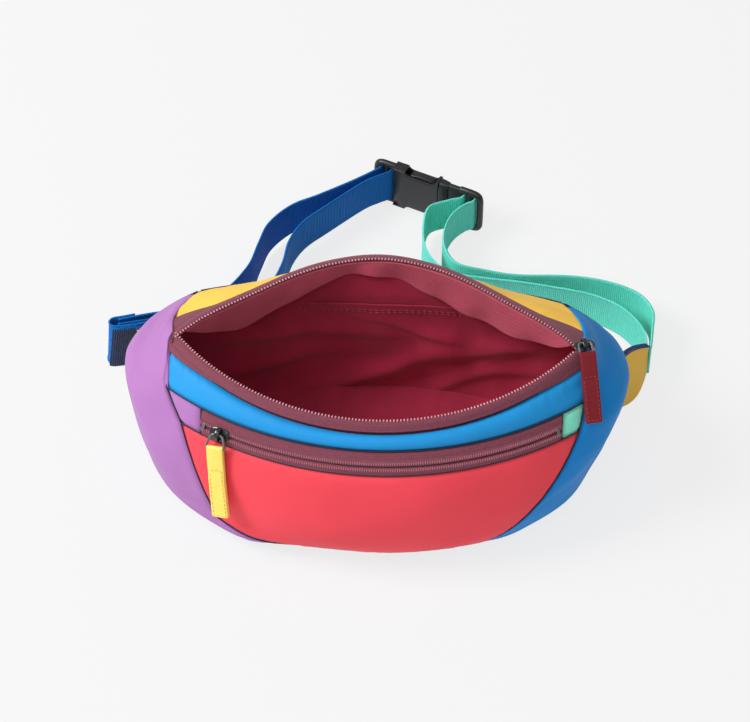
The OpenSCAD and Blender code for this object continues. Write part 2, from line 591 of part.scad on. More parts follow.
module strap_left() { color("royalblue") webbing(LEFT_ROUTE); }
module strap_right() { color("mediumaquamarine") webbing(RIGHT_ROUTE); }

module at_buckle() {
    translate([buckle_x, buckle_y, buckle_z]) rotate([0, 0, buckle_turn]) children();
}
function ease(t) = t * t * (3 - 2 * t);
function corner(x, z, r, start) = [for (i = [0:6]) [x + r * cos(start + 15 * i), z + r * sin(start + 15 * i)]];
// Face outline with corners of radius r0 at its x0 end and r1 at its x1 end
function face_outline(x0, x1, r0, r1) = let (h = buckle_h / 2)
    concat(corner(x0 + r0, r0 - h, r0, 180), corner(x1 - r1, r1 - h, r1, 270), corner(x1 - r1, h - r1, r1, 0),
        corner(x0 + r0, h - r0, r0, 90));
// Edge outline whose thickness swells from t0 to t1 between the stations a and b
function edge_outline(x0, a, b, x1, t0, t1) =
    let (upper = concat([[x0, t0 / 2]], [for (i = [0:8]) [mix(a, b, i / 8), mix(t0, t1, ease(i / 8)) / 2]], [[x1, t1 / 2]]))
    concat(upper, [for (i = [len(upper) - 1:-1:0]) [upper[i][0], -upper[i][1]]]);
module buckle_blank(face, edge) {
    intersection() {
        rotate([90, 0, 0]) linear_extrude(2 * buckle_t, center = true) polygon(face);
        linear_extrude(2 * buckle_h, center = true) polygon(edge);
    }
}
slot_end = bar_w + web_slot;
socket_floor = slot_end + 5;
guide_room = 3;
guide_h = 4.8;
root_in = 7;
root_room = 8;
root_depth = 6;
bar_round = 4.5;
mouth_round = 1.4;
socket_h = buckle_h - 2 * buckle_wall;
socket_t = buckle_t - 2 * buckle_wall;
module buckle_female() {
    color("dimgray") at_buckle() difference() {
        buckle_blank(face_outline(0, female_l, bar_round, mouth_round),
            edge_outline(0, slot_end + 1, socket_floor, female_l, buckle_bar, buckle_t));
        translate([bar_w, -buckle_t, -web_room / 2]) cube([web_slot, 2 * buckle_t, web_room]);
        translate([socket_floor, -socket_t / 2, -socket_h / 2]) cube([female_l, socket_t, socket_h]);
        for (k = [-1, 1]) translate([window_x0, -socket_t / 2, k * (buckle_h / 2 - buckle_wall / 2) - buckle_wall])
            cube([window_x1 - window_x0, socket_t, 2 * buckle_wall]);
    }
}
window_x0 = 18;
window_x1 = female_l - 2.6;
prong_t = socket_t - 2 * buckle_gap;
prong_pivot_x = female_l + 3;
prong_root_x = prong_pivot_x + 1.1;
prong_z = socket_h / 2 - 0.5;
hook_z = socket_h / 2 + 0.9;
module buckle_male() {
    color("dimgray") at_buckle() difference() {
        union() {
            buckle_blank(face_outline(female_l + buckle_gap, buckle_end, mouth_round, bar_round),
                edge_outline(female_l + buckle_gap, female_l + 5, buckle_end - slot_end - 1, buckle_end,
                    buckle_t, buckle_bar));
            translate([socket_floor + guide_room, -prong_t / 2, -guide_h / 2])
                cube([female_l + 2 - socket_floor - guide_room + buckle_gap, prong_t, guide_h]);
        }
        translate([buckle_end - slot_end, -buckle_t, -web_room / 2]) cube([web_slot, 2 * buckle_t, web_room]);
        for (k = [-1, 1]) translate([female_l - 1, -prong_t / 2 - buckle_gap, k * (buckle_h / 2 - root_in) - root_room / 2])
            cube([root_depth, prong_t + 2 * buckle_gap, root_room]);
    }
}
module prong(k) {
    at_buckle() mirror([0, 0, k < 0 ? 1 : 0]) translate([0, prong_t / 2, 0]) rotate([90, 0, 0])
        linear_extrude(prong_t) polygon([[prong_root_x, 8], [prong_root_x, 11.4], [window_x1 - 0.4, 12.6],
            [window_x1 - 0.4, hook_z], [window_x1 - 1.8, hook_z], [window_x1 - 2.3, prong_z], [window_x0 + 8, prong_z],
            [window_x0 + 3, prong_z - 0.8], [window_x0 + 0.6, 11], [window_x0 + 1, 9], [window_x0 + 8, 10.4],
            [female_l - 4, 9]]);
}
module prong_top() { color("gray") prong(1); }
module prong_bottom() { color("gray") prong(-1); }

front_pocket_panel();
upper_front_panel();
zip_end_left();
zip_end_right();
front_zip_tape_upper();
front_zip_tape_lower();
front_zip_coils();
front_zip_stops();
gusset_left();
gusset_right();
top_back_panel();
back_panel();
back_foam();
main_tape_front();
main_tape_back();
main_chain_front();
main_chain_back();
lining_front();
lining_left();
lining_right();
lining_back();
lip_facing();
inner_pocket();
front_pocket_bag();
front_slider();
front_pull_ring();
front_pull_tab();
main_slider();
main_pull_ring();
main_pull_tab();
wing_left();
wing_right();
strap_left();
strap_right();
buckle_female();
buckle_male();
prong_top();
prong_bottom();
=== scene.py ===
"""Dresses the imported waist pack: sewn panels, zips, lining, webbing, buckle, light and camera."""

import logging
import math
from dataclasses import dataclass
from enum import Enum
from typing import Callable, Iterable, Optional, Sequence

import bpy
import numpy as np
from mathutils import Matrix, Vector


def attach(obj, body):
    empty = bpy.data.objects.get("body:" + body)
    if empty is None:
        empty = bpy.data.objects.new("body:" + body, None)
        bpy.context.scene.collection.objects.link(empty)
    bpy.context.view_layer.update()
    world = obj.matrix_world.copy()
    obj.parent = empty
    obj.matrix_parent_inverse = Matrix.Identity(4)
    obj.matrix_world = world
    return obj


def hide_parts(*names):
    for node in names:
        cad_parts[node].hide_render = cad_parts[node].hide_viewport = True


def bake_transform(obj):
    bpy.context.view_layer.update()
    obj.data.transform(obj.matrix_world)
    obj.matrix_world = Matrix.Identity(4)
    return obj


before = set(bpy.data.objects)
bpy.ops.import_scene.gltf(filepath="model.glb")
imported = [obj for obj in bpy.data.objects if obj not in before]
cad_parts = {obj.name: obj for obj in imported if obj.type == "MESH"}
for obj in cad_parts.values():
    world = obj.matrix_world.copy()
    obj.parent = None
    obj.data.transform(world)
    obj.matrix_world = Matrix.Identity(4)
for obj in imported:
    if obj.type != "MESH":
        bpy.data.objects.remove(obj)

LOG = logging.getLogger("waist_pack")
MM = 0.001
WEB_WIDTH = 25.0
WEB_THICK = 1.3
Colour = tuple[float, float, float]
Solid = tuple[np.ndarray, list[list[int]]]
Route = list[tuple[float, float]]
Reach = Callable[[float], float]
Piece = bpy.types.Object
Finish = bpy.types.Material
Socket = bpy.types.NodeSocket
Array = np.ndarray
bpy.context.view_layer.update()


class Side(Enum):
    """Which side of the pack a piece is on, seen from the front."""

    LEFT = -1
    RIGHT = 1

    @property
    def index(self) -> int:
        """Place in a pair: 0 on the left and 1 on the right."""
        return (self.value + 1) // 2

    @property
    def word(self) -> str:
        """The side's word in the names of pieces."""
        return self.name.lower()


class Lip(Enum):
    """Which lip of the mouth a piece follows."""

    FRONT = -1
    BACK = 1


# ---- numbers


def mix(a: Array, b: Array, t: Array) -> Array:
    """Returns the value a share t of the way from a to b."""
    return a + (b - a) * t


def points(x: Array, y: Array, z: Array) -> Array:
    """Stacks three arrays of one shape into an array of points."""
    x, y, z = np.broadcast_arrays(x, y, z)
    return np.stack([x, y, z], axis=-1).astype(float)


def bell(x: Array, centre: float, width: float) -> Array:
    """Returns a smooth hump of height 1 about a centre."""
    return np.exp(-(((x - centre) / width) ** 2))


def crowded(count: int, share: float = 0.8) -> Array:
    """Returns count values from 0 to 1 that lie closer together near both ends."""
    t = np.linspace(0.0, 1.0, count)
    return t - share * np.sin(2 * math.pi * t) / (2 * math.pi)


def eased(t: Array) -> Array:
    """Returns a share from 0 to 1 with a soft start and a soft end."""
    return t * t * (3 - 2 * t)


def wider(a: Array, b: Array) -> Array:
    """Returns the larger of two values, with a soft change from one to the other."""
    return 0.5 * (a + b + np.sqrt((a - b) ** 2 + 4.0)) - 1.0


def ripple(s: Array, pitch: float, seed: int) -> Array:
    """Returns an uneven wave of about one pitch, between -1 and 1.

    Args:
        s: Distance along a seam.
        pitch: Mean distance between crests, in the same unit.
        seed: Picks one of many waves.

    Returns:
        The wave's height at each place.
    """
    rng = np.random.default_rng(seed)
    out = np.zeros_like(np.asarray(s, float))
    for _ in range(5):
        length = pitch * rng.uniform(0.6, 1.9)
        phase = rng.uniform(0, 2 * math.pi)
        drift = rng.uniform(0.4, 1.1)
        out = out + np.sin(2 * math.pi * s / length + phase + drift * np.sin(s / pitch * drift + phase))
    return out / 3.2


def rumple(x: Array, y: Array, size: float, seed: int) -> Array:
    """Returns soft uneven hills over a plane, between about -1 and 1.

    Args:
        x: First coordinate of each point.
        y: Second coordinate of each point.
        size: Mean distance between hills.
        seed: Picks one of many such grounds.

    Returns:
        The ground's height at each point.
    """
    rng = np.random.default_rng(seed)
    out = np.zeros(np.broadcast(x, y).shape)
    for _ in range(9):
        a = rng.uniform(0, 2 * math.pi)
        k = 2 * math.pi / (size * rng.uniform(0.7, 1.8))
        phase = rng.uniform(0, 2 * math.pi)
        bend = rng.uniform(0.3, 0.9)
        u = x * math.cos(a) + y * math.sin(a)
        w = -x * math.sin(a) + y * math.cos(a)
        out = out + np.sin(k * u + phase + bend * np.sin(0.6 * k * w + 2 * phase))
    return out / 4.0


def unit(v: Array) -> Array:
    """Returns vectors of length 1 in the given directions."""
    return v / np.maximum(np.linalg.norm(v, axis=-1, keepdims=True), 1e-9)


def grid_normals(p: Array) -> Array:
    """Returns the unit normal at each point of a grid of points."""
    return unit(np.cross(np.gradient(p, axis=1), np.gradient(p, axis=0)))


def facing_normals(p: Array, outward: Array) -> Array:
    """Returns a grid's normals, each turned towards a rough outward direction."""
    n = grid_normals(p)
    return np.where(np.sum(n * outward, axis=-1, keepdims=True) < 0, -n, n)


def path_lengths(path: Array) -> Array:
    """Returns how far each point is along a path."""
    return np.concatenate([[0.0], np.cumsum(np.linalg.norm(np.diff(path, axis=0), axis=1))])


def path_points(at: Array, s: Array, path: Array) -> Array:
    """Returns the points of a path at given distances along it."""
    return np.stack([np.interp(at, s, path[:, i]) for i in range(path.shape[1])], axis=-1)


def run_lengths(p: Array, axis: int) -> Array:
    """Returns how far each grid point is along its row or column, in millimetres."""
    step = np.linalg.norm(np.diff(p, axis=axis), axis=-1)
    pad = np.zeros_like(np.take(step, [0], axis=axis))
    return np.concatenate([pad, np.cumsum(step, axis=axis)], axis=axis)


# ---- meshes


def make_mesh(
    name: str,
    verts: Array,
    faces: Sequence[Sequence[int]],
    uvs: Optional[Array] = None,
    smooth: bool = True,
) -> Piece:
    """Makes a mesh object from points in millimetres.

    Args:
        name: The piece's name.
        verts: Points, in millimetres.
        faces: Lists of point numbers.
        uvs: One pair for each point, in millimetres of cloth.
        smooth: Whether the faces are shaded smooth.

    Returns:
        The new object, linked to the scene.
    """
    mesh = bpy.data.meshes.new(name)
    mesh.from_pydata((np.asarray(verts, float) * MM).tolist(), [], [list(map(int, f)) for f in faces])
    mesh.validate()
    if uvs is not None:
        layer = mesh.uv_layers.new(name="cloth")
        index = np.zeros(len(mesh.loops), np.int64)
        mesh.loops.foreach_get("vertex_index", index)
        layer.data.foreach_set("uv", np.asarray(uvs, float)[index].ravel())
    mesh.polygons.foreach_set("use_smooth", [smooth] * len(mesh.polygons))
    mesh.update()
    obj = bpy.data.objects.new(name, mesh)
    bpy.context.scene.collection.objects.link(obj)
    return obj


def sheet_from_grid(name: str, p: Array, thick: float, outward: Array) -> Piece:
    """Makes a closed sheet of cloth from a grid of points on its outer face.

    Args:
        name: The piece's name.
        p: Grid of points, in millimetres.
        thick: Thickness of the cloth.
        outward: A rough outward direction for each point, or one for all.

    Returns:
        The sheet's object.
    """
    n = grid_normals(p)
    flip = np.sum(n * outward) < 0
    if flip:
        n = -n
    rows, cols = p.shape[:2]
    inner = p - thick * n
    verts = np.concatenate([p.reshape(-1, 3), inner.reshape(-1, 3)])
    size = rows * cols
    index = np.arange(size).reshape(rows, cols)
    a, b = index[:-1, :-1].ravel(), index[:-1, 1:].ravel()
    c, d = index[1:, 1:].ravel(), index[1:, :-1].ravel()
    top = np.stack([a, b, c, d], axis=1)
    low = np.stack([d, c, b, a], axis=1) + size
    rim = np.concatenate([index[0, :-1], index[:-1, -1], index[-1, :0:-1], index[:0:-1, 0]])
    nxt = np.roll(rim, -1)
    side = np.stack([nxt, rim, rim + size, nxt + size], axis=1)
    faces = np.concatenate([top, low, side])
    if flip:
        faces = faces[:, ::-1]
    u, v = run_lengths(p, 1), run_lengths(p, 0)
    u = u - u.mean(axis=1, keepdims=True)
    uv = np.stack([u.ravel(), v.ravel()], axis=1)
    return make_mesh(name, verts, faces, np.concatenate([uv, uv]))


def tube(path: Array, radius: float | Array, sides: int = 10, closed: bool = False) -> Solid:
    """Returns the points and faces of a round tube along a path in millimetres.

    Args:
        path: Points along it.
        radius: One radius, or one for each point.
        sides: How many sides it has.
        closed: Whether it ends where it starts.

    Returns:
        Its points and faces.
    """
    count = len(path)
    back = np.roll(path, 1, axis=0) if closed else np.vstack([path[:1], path[:-1]])
    ahead = np.roll(path, -1, axis=0) if closed else np.vstack([path[1:], path[-1:]])
    along = unit(ahead - back)
    side = np.cross(along, np.array([0.0, 0.0, 1.0]))
    weak = np.linalg.norm(side, axis=1) < 0.2
    side[weak] = np.cross(along[weak], np.array([1.0, 0.0, 0.0]))
    side = unit(side)
    up = np.cross(side, along)
    angle = np.linspace(0, 2 * math.pi, sides, endpoint=False)
    r = np.broadcast_to(np.asarray(radius, float), (count,))
    c, s = np.cos(angle)[None, :, None], np.sin(angle)[None, :, None]
    ring = path[:, None] + r[:, None, None] * (c * side[:, None] + s * up[:, None])
    faces: list[list[int]] = []
    for i in range(count if closed else count - 1):
        j = (i + 1) % count
        for k in range(sides):
            m = (k + 1) % sides
            faces.append([i * sides + k, i * sides + m, j * sides + m, j * sides + k])
    if not closed:
        faces.append(list(range(sides))[::-1])
        faces.append([(count - 1) * sides + k for k in range(sides)])
    return ring.reshape(-1, 3), faces


def turned(axis: str, degrees: float) -> Matrix:
    """Returns a turn about one of the main axes."""
    return Matrix.Rotation(math.radians(degrees), 4, axis)


def placed(verts: Array, place: Matrix) -> Array:
    """Returns points carried from a frame of millimetres to the pack."""
    m = np.array(place)
    return np.asarray(verts, float) @ m[:3, :3].T + m[:3, 3]


def lofted(rings: Sequence[Array]) -> Solid:
    """Returns a closed solid through rings of the same number of points.

    Args:
        rings: The rings, one after another.

    Returns:
        Its points and faces.
    """
    sections = np.stack(rings)
    n, m = sections.shape[:2]
    faces: list[list[int]] = []
    for i in range(n - 1):
        for k in range(m):
            j = (k + 1) % m
            faces.append([i * m + k, i * m + j, (i + 1) * m + j, (i + 1) * m + k])
    faces.append(list(range(m))[::-1])
    faces.append([(n - 1) * m + k for k in range(m)])
    return sections.reshape(-1, 3), faces


def rounded_ring(half_w: float, half_t: float, power: float = 5.0, count: int = 28) -> Array:
    """Returns a rounded rectangle in the X Z plane.

    Args:
        half_w: Half its width.
        half_t: Half its thickness.
        power: 2 for an ellipse, and more for sharper corners.
        count: How many points.

    Returns:
        The points.
    """
    a = np.linspace(0, 2 * math.pi, count, endpoint=False)
    c, s = np.cos(a), np.sin(a)
    x = np.sign(c) * np.abs(c) ** (2 / power) * half_w
    z = np.sign(s) * np.abs(s) ** (2 / power) * half_t
    return points(x, 0 * x, z)


class Heap:
    """Gathers many small solids into one mesh, each carried to one place."""

    def __init__(self, place: Matrix = Matrix.Identity(4)) -> None:
        """Starts an empty heap whose solids are given in the frame of a place.

        Args:
            place: Carries every solid to the pack.
        """
        self.place = place
        self.verts: list[Array] = []
        self.faces: list[list[int]] = []
        self.count = 0

    def add(self, verts: Array, faces: Iterable[Sequence[int]]) -> None:
        """Adds one solid's points and faces."""
        self.verts.append(placed(verts, self.place))
        self.faces.extend([[i + self.count for i in f] for f in faces])
        self.count += len(verts)

    def build(self, name: str) -> Piece:
        """Makes the gathered solids into one object."""
        return make_mesh(name, np.concatenate(self.verts), self.faces)


def stitch_row(heap: Heap, path: Array, out: Array, length: float, gap: float, width: float) -> None:
    """Adds a row of separate stitches along a path.

    Args:
        heap: Where the stitches go.
        path: Points along the row, in millimetres.
        out: Outward direction at each point.
        length: Length of one stitch.
        gap: Space between two stitches.
        width: Thickness of the thread.
    """
    s = path_lengths(path)
    pitch = length + gap
    for k in range(int(s[-1] // pitch)):
        at = np.linspace(k * pitch + gap / 2, k * pitch + gap / 2 + length, 5)
        mid, lift = path_points(at, s, path), path_points(at, s, out)
        bow = np.array([-0.35, 0.3, 0.42, 0.3, -0.35])[:, None] * width
        heap.add(*tube(mid + lift * bow, width / 2 * np.array([0.7, 1, 1, 1, 0.7]), 6))


def bevelled(obj: Piece, width: float, segments: int = 2) -> Piece:
    """Rounds an object's sharp edges and returns it.

    Args:
        obj: The piece.
        width: Width of the bevel, in millimetres.
        segments: How many steps it has.

    Returns:
        The piece.
    """
    mod = obj.modifiers.new("soft edges", "BEVEL")
    mod.width = width * MM
    mod.segments = segments
    mod.limit_method = "ANGLE"
    mod.angle_limit = math.radians(35)
    mod.harden_normals = False
    return obj


# ---- finishes


class Nodes:
    """A short hand for building one material's nodes."""

    def __init__(self, name: str) -> None:
        """Starts a material with a bare shader.

        Args:
            name: The material's name.
        """
        self.material = bpy.data.materials.new(name)
        self.material.use_nodes = True
        self.tree = self.material.node_tree
        self.shader = self.tree.nodes["Principled BSDF"]
        self.shade = self.shader.inputs

    def add(self, kind: str, **settings: object) -> bpy.types.Node:
        """Adds a node and sets its properties.

        Args:
            kind: The node's type.
            **settings: Its properties.

        Returns:
            The node.
        """
        node = self.tree.nodes.new(kind)
        for key, value in settings.items():
            setattr(node, key, value)
        return node

    def link(self, out: Socket, into: Socket) -> None:
        """Joins two sockets."""
        self.tree.links.new(out, into)

    def maths(self, how: str, a: object, b: object = 0.0) -> Socket:
        """Adds a Math node and returns its output; a and b are sockets or numbers.

        Args:
            how: The operation.
            a: First value.
            b: Second value.

        Returns:
            The output socket.
        """
        node = self.add("ShaderNodeMath", operation=how)
        for slot, value in zip(node.inputs, (a, b)):
            if isinstance(value, Socket):
                self.link(value, slot)
            else:
                slot.default_value = value
        return node.outputs[0]

    def blend(self, *terms: tuple[Socket, float], base: float = 0.0) -> Socket:
        """Adds up values by their weights.

        Args:
            *terms: Pairs of a value and its weight.
            base: A number to start from.

        Returns:
            The output socket.
        """
        total: object = base
        for value, weight in terms:
            part = value if weight == 1 else self.maths("MULTIPLY", value, weight)
            total = self.maths("ADD", part, total)
        return total

    def noise(self, scale: float, detail: float = 3.0) -> Socket:
        """Adds a noise over the object's own coordinates.

        Args:
            scale: How fine it is.
            detail: How many finer layers it has.

        Returns:
            The output socket.
        """
        node = self.add("ShaderNodeTexNoise")
        node.inputs["Scale"].default_value = scale
        node.inputs["Detail"].default_value = detail
        self.link(self.add("ShaderNodeTexCoord").outputs["Object"], node.inputs["Vector"])
        return node.outputs["Fac"]

    def cloth_uv(self) -> tuple[Socket, Socket]:
        """Returns the cloth's two coordinates, in millimetres.

        Returns:
            The coordinate across and the one along.
        """
        uv = self.add("ShaderNodeUVMap", uv_map="cloth")
        split = self.add("ShaderNodeSeparateXYZ")
        self.link(uv.outputs["UV"], split.inputs[0])
        return split.outputs["X"], split.outputs["Y"]

    def wave(self, along: Socket, pitch: float) -> Socket:
        """Returns a smooth wave from -1 to 1 of one pitch, in millimetres."""
        return self.maths("SINE", self.maths("MULTIPLY", along, 2 * math.pi / pitch))

    def surface(self, **levels: float) -> None:
        """Sets the shader's own sockets, named in small letters with underscores."""
        for name, level in levels.items():
            self.shade[name.replace("_", " ").title().replace("Ior", "IOR")].default_value = level

    def shades(
        self, value: Socket, dark: Colour, light: Colour, low: float = 0.3, high: float = 0.7
    ) -> None:
        """Colours the surface between two colours by a value.

        Args:
            value: Picks the colour.
            dark: Colour of the low values.
            light: Colour of the high values.
            low: Where the change starts.
            high: Where it ends.
        """
        ramp = self.add("ShaderNodeValToRGB")
        ramp.color_ramp.elements[0].position = low
        ramp.color_ramp.elements[1].position = high
        ramp.color_ramp.elements[0].color = (*dark, 1.0)
        ramp.color_ramp.elements[1].color = (*light, 1.0)
        self.link(value, ramp.inputs[0])
        self.link(ramp.outputs[0], self.shade["Base Color"])

    def bumps(self, height: Socket, depth: float, strength: float = 1.0) -> None:
        """Raises the surface by a height; depth is in millimetres.

        Args:
            height: The height, from 0 to 1.
            depth: How deep it goes.
            strength: How far it shows.
        """
        node = self.add("ShaderNodeBump")
        node.inputs["Distance"].default_value = depth * MM
        node.inputs["Strength"].default_value = strength
        self.link(height, node.inputs["Height"])
        self.link(node.outputs[0], self.shade["Normal"])


def tone(colour: Colour, factor: float) -> Colour:
    """Returns a colour made darker or lighter by a factor."""
    return tuple(min(1.0, c * factor) for c in colour)  # type: ignore[return-value]


@dataclass(frozen=True)
class Nylon:
    """Fine plain woven shell cloth with a soft sheen."""

    name: str
    colour: Colour
    pitch: float = 0.62
    rough: float = 0.58
    sheen: float = 0.03

    def build(self) -> Finish:
        """Makes the material.

        Returns:
            The material.
        """
        kit = Nodes(self.name)
        u, v = kit.cloth_uv()
        weave = kit.maths("MULTIPLY", kit.wave(u, self.pitch), kit.wave(v, self.pitch))
        fibre = kit.noise(900.0, 3.0)
        cloud = kit.noise(22.0, 4.0)
        kit.shades(kit.blend((cloud, 0.8), (fibre, 0.2)), tone(self.colour, 0.93), tone(self.colour, 1.06))
        kit.bumps(kit.blend((weave, 0.5), (fibre, 0.9)), 0.05, 0.5)
        kit.link(kit.blend((fibre, 0.16), base=self.rough - 0.08), kit.shade["Roughness"])
        kit.surface(sheen_weight=self.sheen, sheen_roughness=0.4, specular_ior_level=0.22)
        return kit.material


@dataclass(frozen=True)
class Cotton:
    """Plain lining cloth with a visible thread."""

    name: str
    colour: Colour
    pitch: float = 0.8
    twill: float = 0.0

    def build(self) -> Finish:
        """Makes the material; a twill above 0 is the pitch of its slanting ribs.

        Returns:
            The material.
        """
        kit = Nodes(self.name)
        u, v = kit.cloth_uv()
        weave = kit.maths("MULTIPLY", kit.wave(u, self.pitch), kit.wave(v, self.pitch))
        fibre = kit.noise(700.0, 4.0)
        cloud = kit.noise(30.0, 5.0)
        value = kit.blend((cloud, 0.7), (fibre, 0.3))
        height = kit.blend((weave, 0.6), (fibre, 1))
        if self.twill > 0:
            rib = kit.wave(kit.maths("ADD", u, v), self.twill)
            value = kit.blend((value, 1), (rib, 0.09))
            height = kit.blend((height, 1), (rib, 1))
        kit.shades(value, tone(self.colour, 0.82), tone(self.colour, 1.15))
        kit.bumps(height, 0.12, 0.6)
        kit.surface(roughness=0.8, sheen_weight=0.1, specular_ior_level=0.2)
        return kit.material


@dataclass(frozen=True)
class Webbing:
    """Ribbed nylon webbing; its ribs run across it."""

    name: str
    colour: Colour
    dark: Colour
    rib: float = 1.25

    def build(self) -> Finish:
        """Makes the material.

        Returns:
            The material.
        """
        kit = Nodes(self.name)
        u, v = kit.cloth_uv()
        rib = kit.wave(v, self.rib)
        cord = kit.wave(u, 2.1)
        fibre = kit.noise(650.0, 3.0)
        kit.shades(kit.blend((rib, 0.16), (fibre, 0.5), base=0.28), self.dark, self.colour, 0.3, 0.62)
        kit.bumps(kit.blend((rib, 1), (cord, 0.25), (fibre, 0.6)), 0.16, 0.8)
        kit.surface(roughness=0.62, sheen_weight=0.02, specular_ior_level=0.16)
        return kit.material


@dataclass(frozen=True)
class ZipTape:
    """Ribbed woven tape of a zip."""

    name: str
    colour: Colour
    rib: float = 0.9

    def build(self) -> Finish:
        """Makes the material.

        Returns:
            The material.
        """
        kit = Nodes(self.name)
        u, v = kit.cloth_uv()
        zigzag = kit.maths("ABSOLUTE", kit.maths("SINE", kit.maths("MULTIPLY", v, 2.2)))
        chevron = kit.wave(kit.maths("ADD", u, zigzag), self.rib)
        line = kit.wave(v, 1.5)
        fibre = kit.noise(800.0, 3.0)
        value = kit.blend((chevron, 0.1), (fibre, 0.5), base=0.25)
        kit.shades(value, tone(self.colour, 0.72), tone(self.colour, 1.2), 0.3, 0.68)
        kit.bumps(kit.blend((chevron, 1), (line, 0.5), (fibre, 1)), 0.1, 0.7)
        kit.surface(roughness=0.66, sheen_weight=0.12, specular_ior_level=0.3)
        return kit.material


@dataclass(frozen=True)
class Plastic:
    """Moulded plastic with a fine spark-eroded grain."""

    name: str
    colour: Colour
    rough: float = 0.42
    grain: float = 0.03

    def build(self) -> Finish:
        """Makes the material.

        Returns:
            The material.
        """
        kit = Nodes(self.name)
        grain = kit.noise(2600.0, 2.0)
        cloud = kit.noise(60.0, 3.0)
        kit.shades(cloud, tone(self.colour, 0.9), tone(self.colour, 1.12))
        kit.bumps(grain, self.grain, 0.6)
        kit.link(kit.blend((cloud, 0.12), base=self.rough - 0.06), kit.shade["Roughness"])
        kit.surface(specular_ior_level=0.5)
        return kit.material


@dataclass(frozen=True)
class Enamel:
    """Glossy painted metal with fine scuffs."""

    name: str
    colour: Colour
    rough: float = 0.18

    def build(self) -> Finish:
        """Makes the material.

        Returns:
            The material.
        """
        kit = Nodes(self.name)
        scuff = kit.noise(420.0, 6.0)
        kit.shades(scuff, tone(self.colour, 0.8), tone(self.colour, 1.5))
        kit.link(kit.blend((scuff, 0.22), base=self.rough - 0.08), kit.shade["Roughness"])
        kit.bumps(scuff, 0.01, 0.4)
        kit.surface(coat_weight=0.5, coat_roughness=0.12, specular_ior_level=0.6)
        return kit.material


@dataclass(frozen=True)
class Hide:
    """Coated smooth pull material with a fine grain."""

    name: str
    colour: Colour

    def build(self) -> Finish:
        """Makes the material.

        Returns:
            The material.
        """
        kit = Nodes(self.name)
        grain = kit.add("ShaderNodeTexVoronoi")
        grain.inputs["Scale"].default_value = 1500.0
        kit.link(kit.add("ShaderNodeTexCoord").outputs["Object"], grain.inputs["Vector"])
        cloud = kit.noise(90.0, 4.0)
        kit.shades(cloud, tone(self.colour, 0.92), tone(self.colour, 1.06))
        kit.bumps(grain.outputs["Distance"], 0.05, 0.5)
        kit.surface(roughness=0.46, specular_ior_level=0.4)
        return kit.material


@dataclass(frozen=True)
class Thread:
    """Twisted sewing thread."""

    name: str
    colour: Colour

    def build(self) -> Finish:
        """Makes the material.

        Returns:
            The material.
        """
        kit = Nodes(self.name)
        fibre = kit.noise(2400.0, 2.0)
        kit.shades(fibre, tone(self.colour, 0.8), tone(self.colour, 1.15))
        kit.bumps(fibre, 0.04, 0.6)
        kit.surface(roughness=0.6)
        return kit.material


class Finishes:
    """Every finish of the pack, made once."""

    def __init__(self) -> None:
        """Makes all the materials."""
        self.red = Nylon("red shell", (0.83, 0.060, 0.085)).build()
        self.sky = Nylon("sky shell", (0.012, 0.28, 0.66)).build()
        self.purple = Nylon("purple shell", (0.39, 0.165, 0.43)).build()
        self.blue = Nylon("blue shell", (0.002, 0.230, 0.64)).build()
        self.yellow = Nylon("yellow shell", (0.92, 0.55, 0.085)).build()
        self.navy = Nylon("navy shell", (0.018, 0.03, 0.085)).build()
        self.mint = Nylon("mint shell", (0.24, 0.80, 0.60)).build()
        self.tape = ZipTape("burgundy tape", (0.225, 0.048, 0.078)).build()
        self.lining = Cotton("burgundy lining", (0.38, 0.018, 0.054)).build()
        self.twill = Cotton("burgundy twill", (0.50, 0.075, 0.12), twill=1.2).build()
        self.blue_web = Webbing("blue webbing", (0.003, 0.15, 0.52), (0.002, 0.10, 0.38)).build()
        # Painted shade: the blue webbing's face where it lies in shade, coloured dark navy.
        self.shaded_blue_web = Webbing("blue webbing in painted shade", (0.030, 0.045, 0.10), (0.010, 0.016, 0.045)).build()
        self.mint_web = Webbing("mint webbing", (0.17, 0.84, 0.69), (0.10, 0.66, 0.54)).build()
        self.buckle = Plastic("buckle plastic", (0.013, 0.013, 0.015)).build()
        self.black = Enamel("black enamel", (0.010, 0.010, 0.011)).build()
        self.yellow_pull = Hide("yellow pull", (0.93, 0.66, 0.13)).build()
        self.crimson_pull = Hide("crimson pull", (0.19, 0.001, 0.008)).build()
        self.yellow_thread = Thread("yellow thread", (0.95, 0.66, 0.16)).build()
        self.crimson_thread = Thread("crimson thread", (0.33, 0.03, 0.05)).build()
        self.wine_thread = Thread("wine thread", (0.30, 0.05, 0.08)).build()
        # Dark seam line: partly real dark thread, partly painted shade of the seam's groove.
        self.seam_thread = Thread("seam thread and painted shade", (0.012, 0.010, 0.035)).build()
        # Pale pink: the coil's own burgundy lightened by a painted highlight.
        self.tooth = Plastic("tooth plastic with painted highlight", (0.62, 0.30, 0.34), 0.3, 0.01).build()
        self.rib_thread = Thread("tape rib thread", (0.46, 0.15, 0.20)).build()
        self.wire = Enamel("grey wire", (0.10, 0.10, 0.105), 0.26).build()
        self.amber = Nylon("amber shell", (0.90, 0.54, 0.075)).build()
        self.bind = Nylon("navy binding", (0.018, 0.045, 0.16), 0.9).build()
        self.foam = Cotton("grey foam", (0.20, 0.20, 0.21)).build()


def finish_piece(
    obj: Piece, material: Finish, body: str, nodes: Sequence[str] = ()
) -> Piece:
    """Gives a piece its material, its body and the solids that it stands for.

    Args:
        obj: The piece.
        material: Its finish.
        body: The body that it rides on.
        nodes: The solids that it stands for.

    Returns:
        The piece.
    """
    obj.data.materials.clear()
    obj.data.materials.append(material)
    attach(obj, body)
    if nodes:
        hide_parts(*nodes)
    LOG.info("%s rides on %s", obj.name, body)
    return obj


def cut_cloth(obj: Piece) -> Piece:
    """Returns a piece as it is; nothing is done to it.

    Args:
        obj: The piece.

    Returns:
        The same piece.
    """
    return obj


# ---- the sewn form


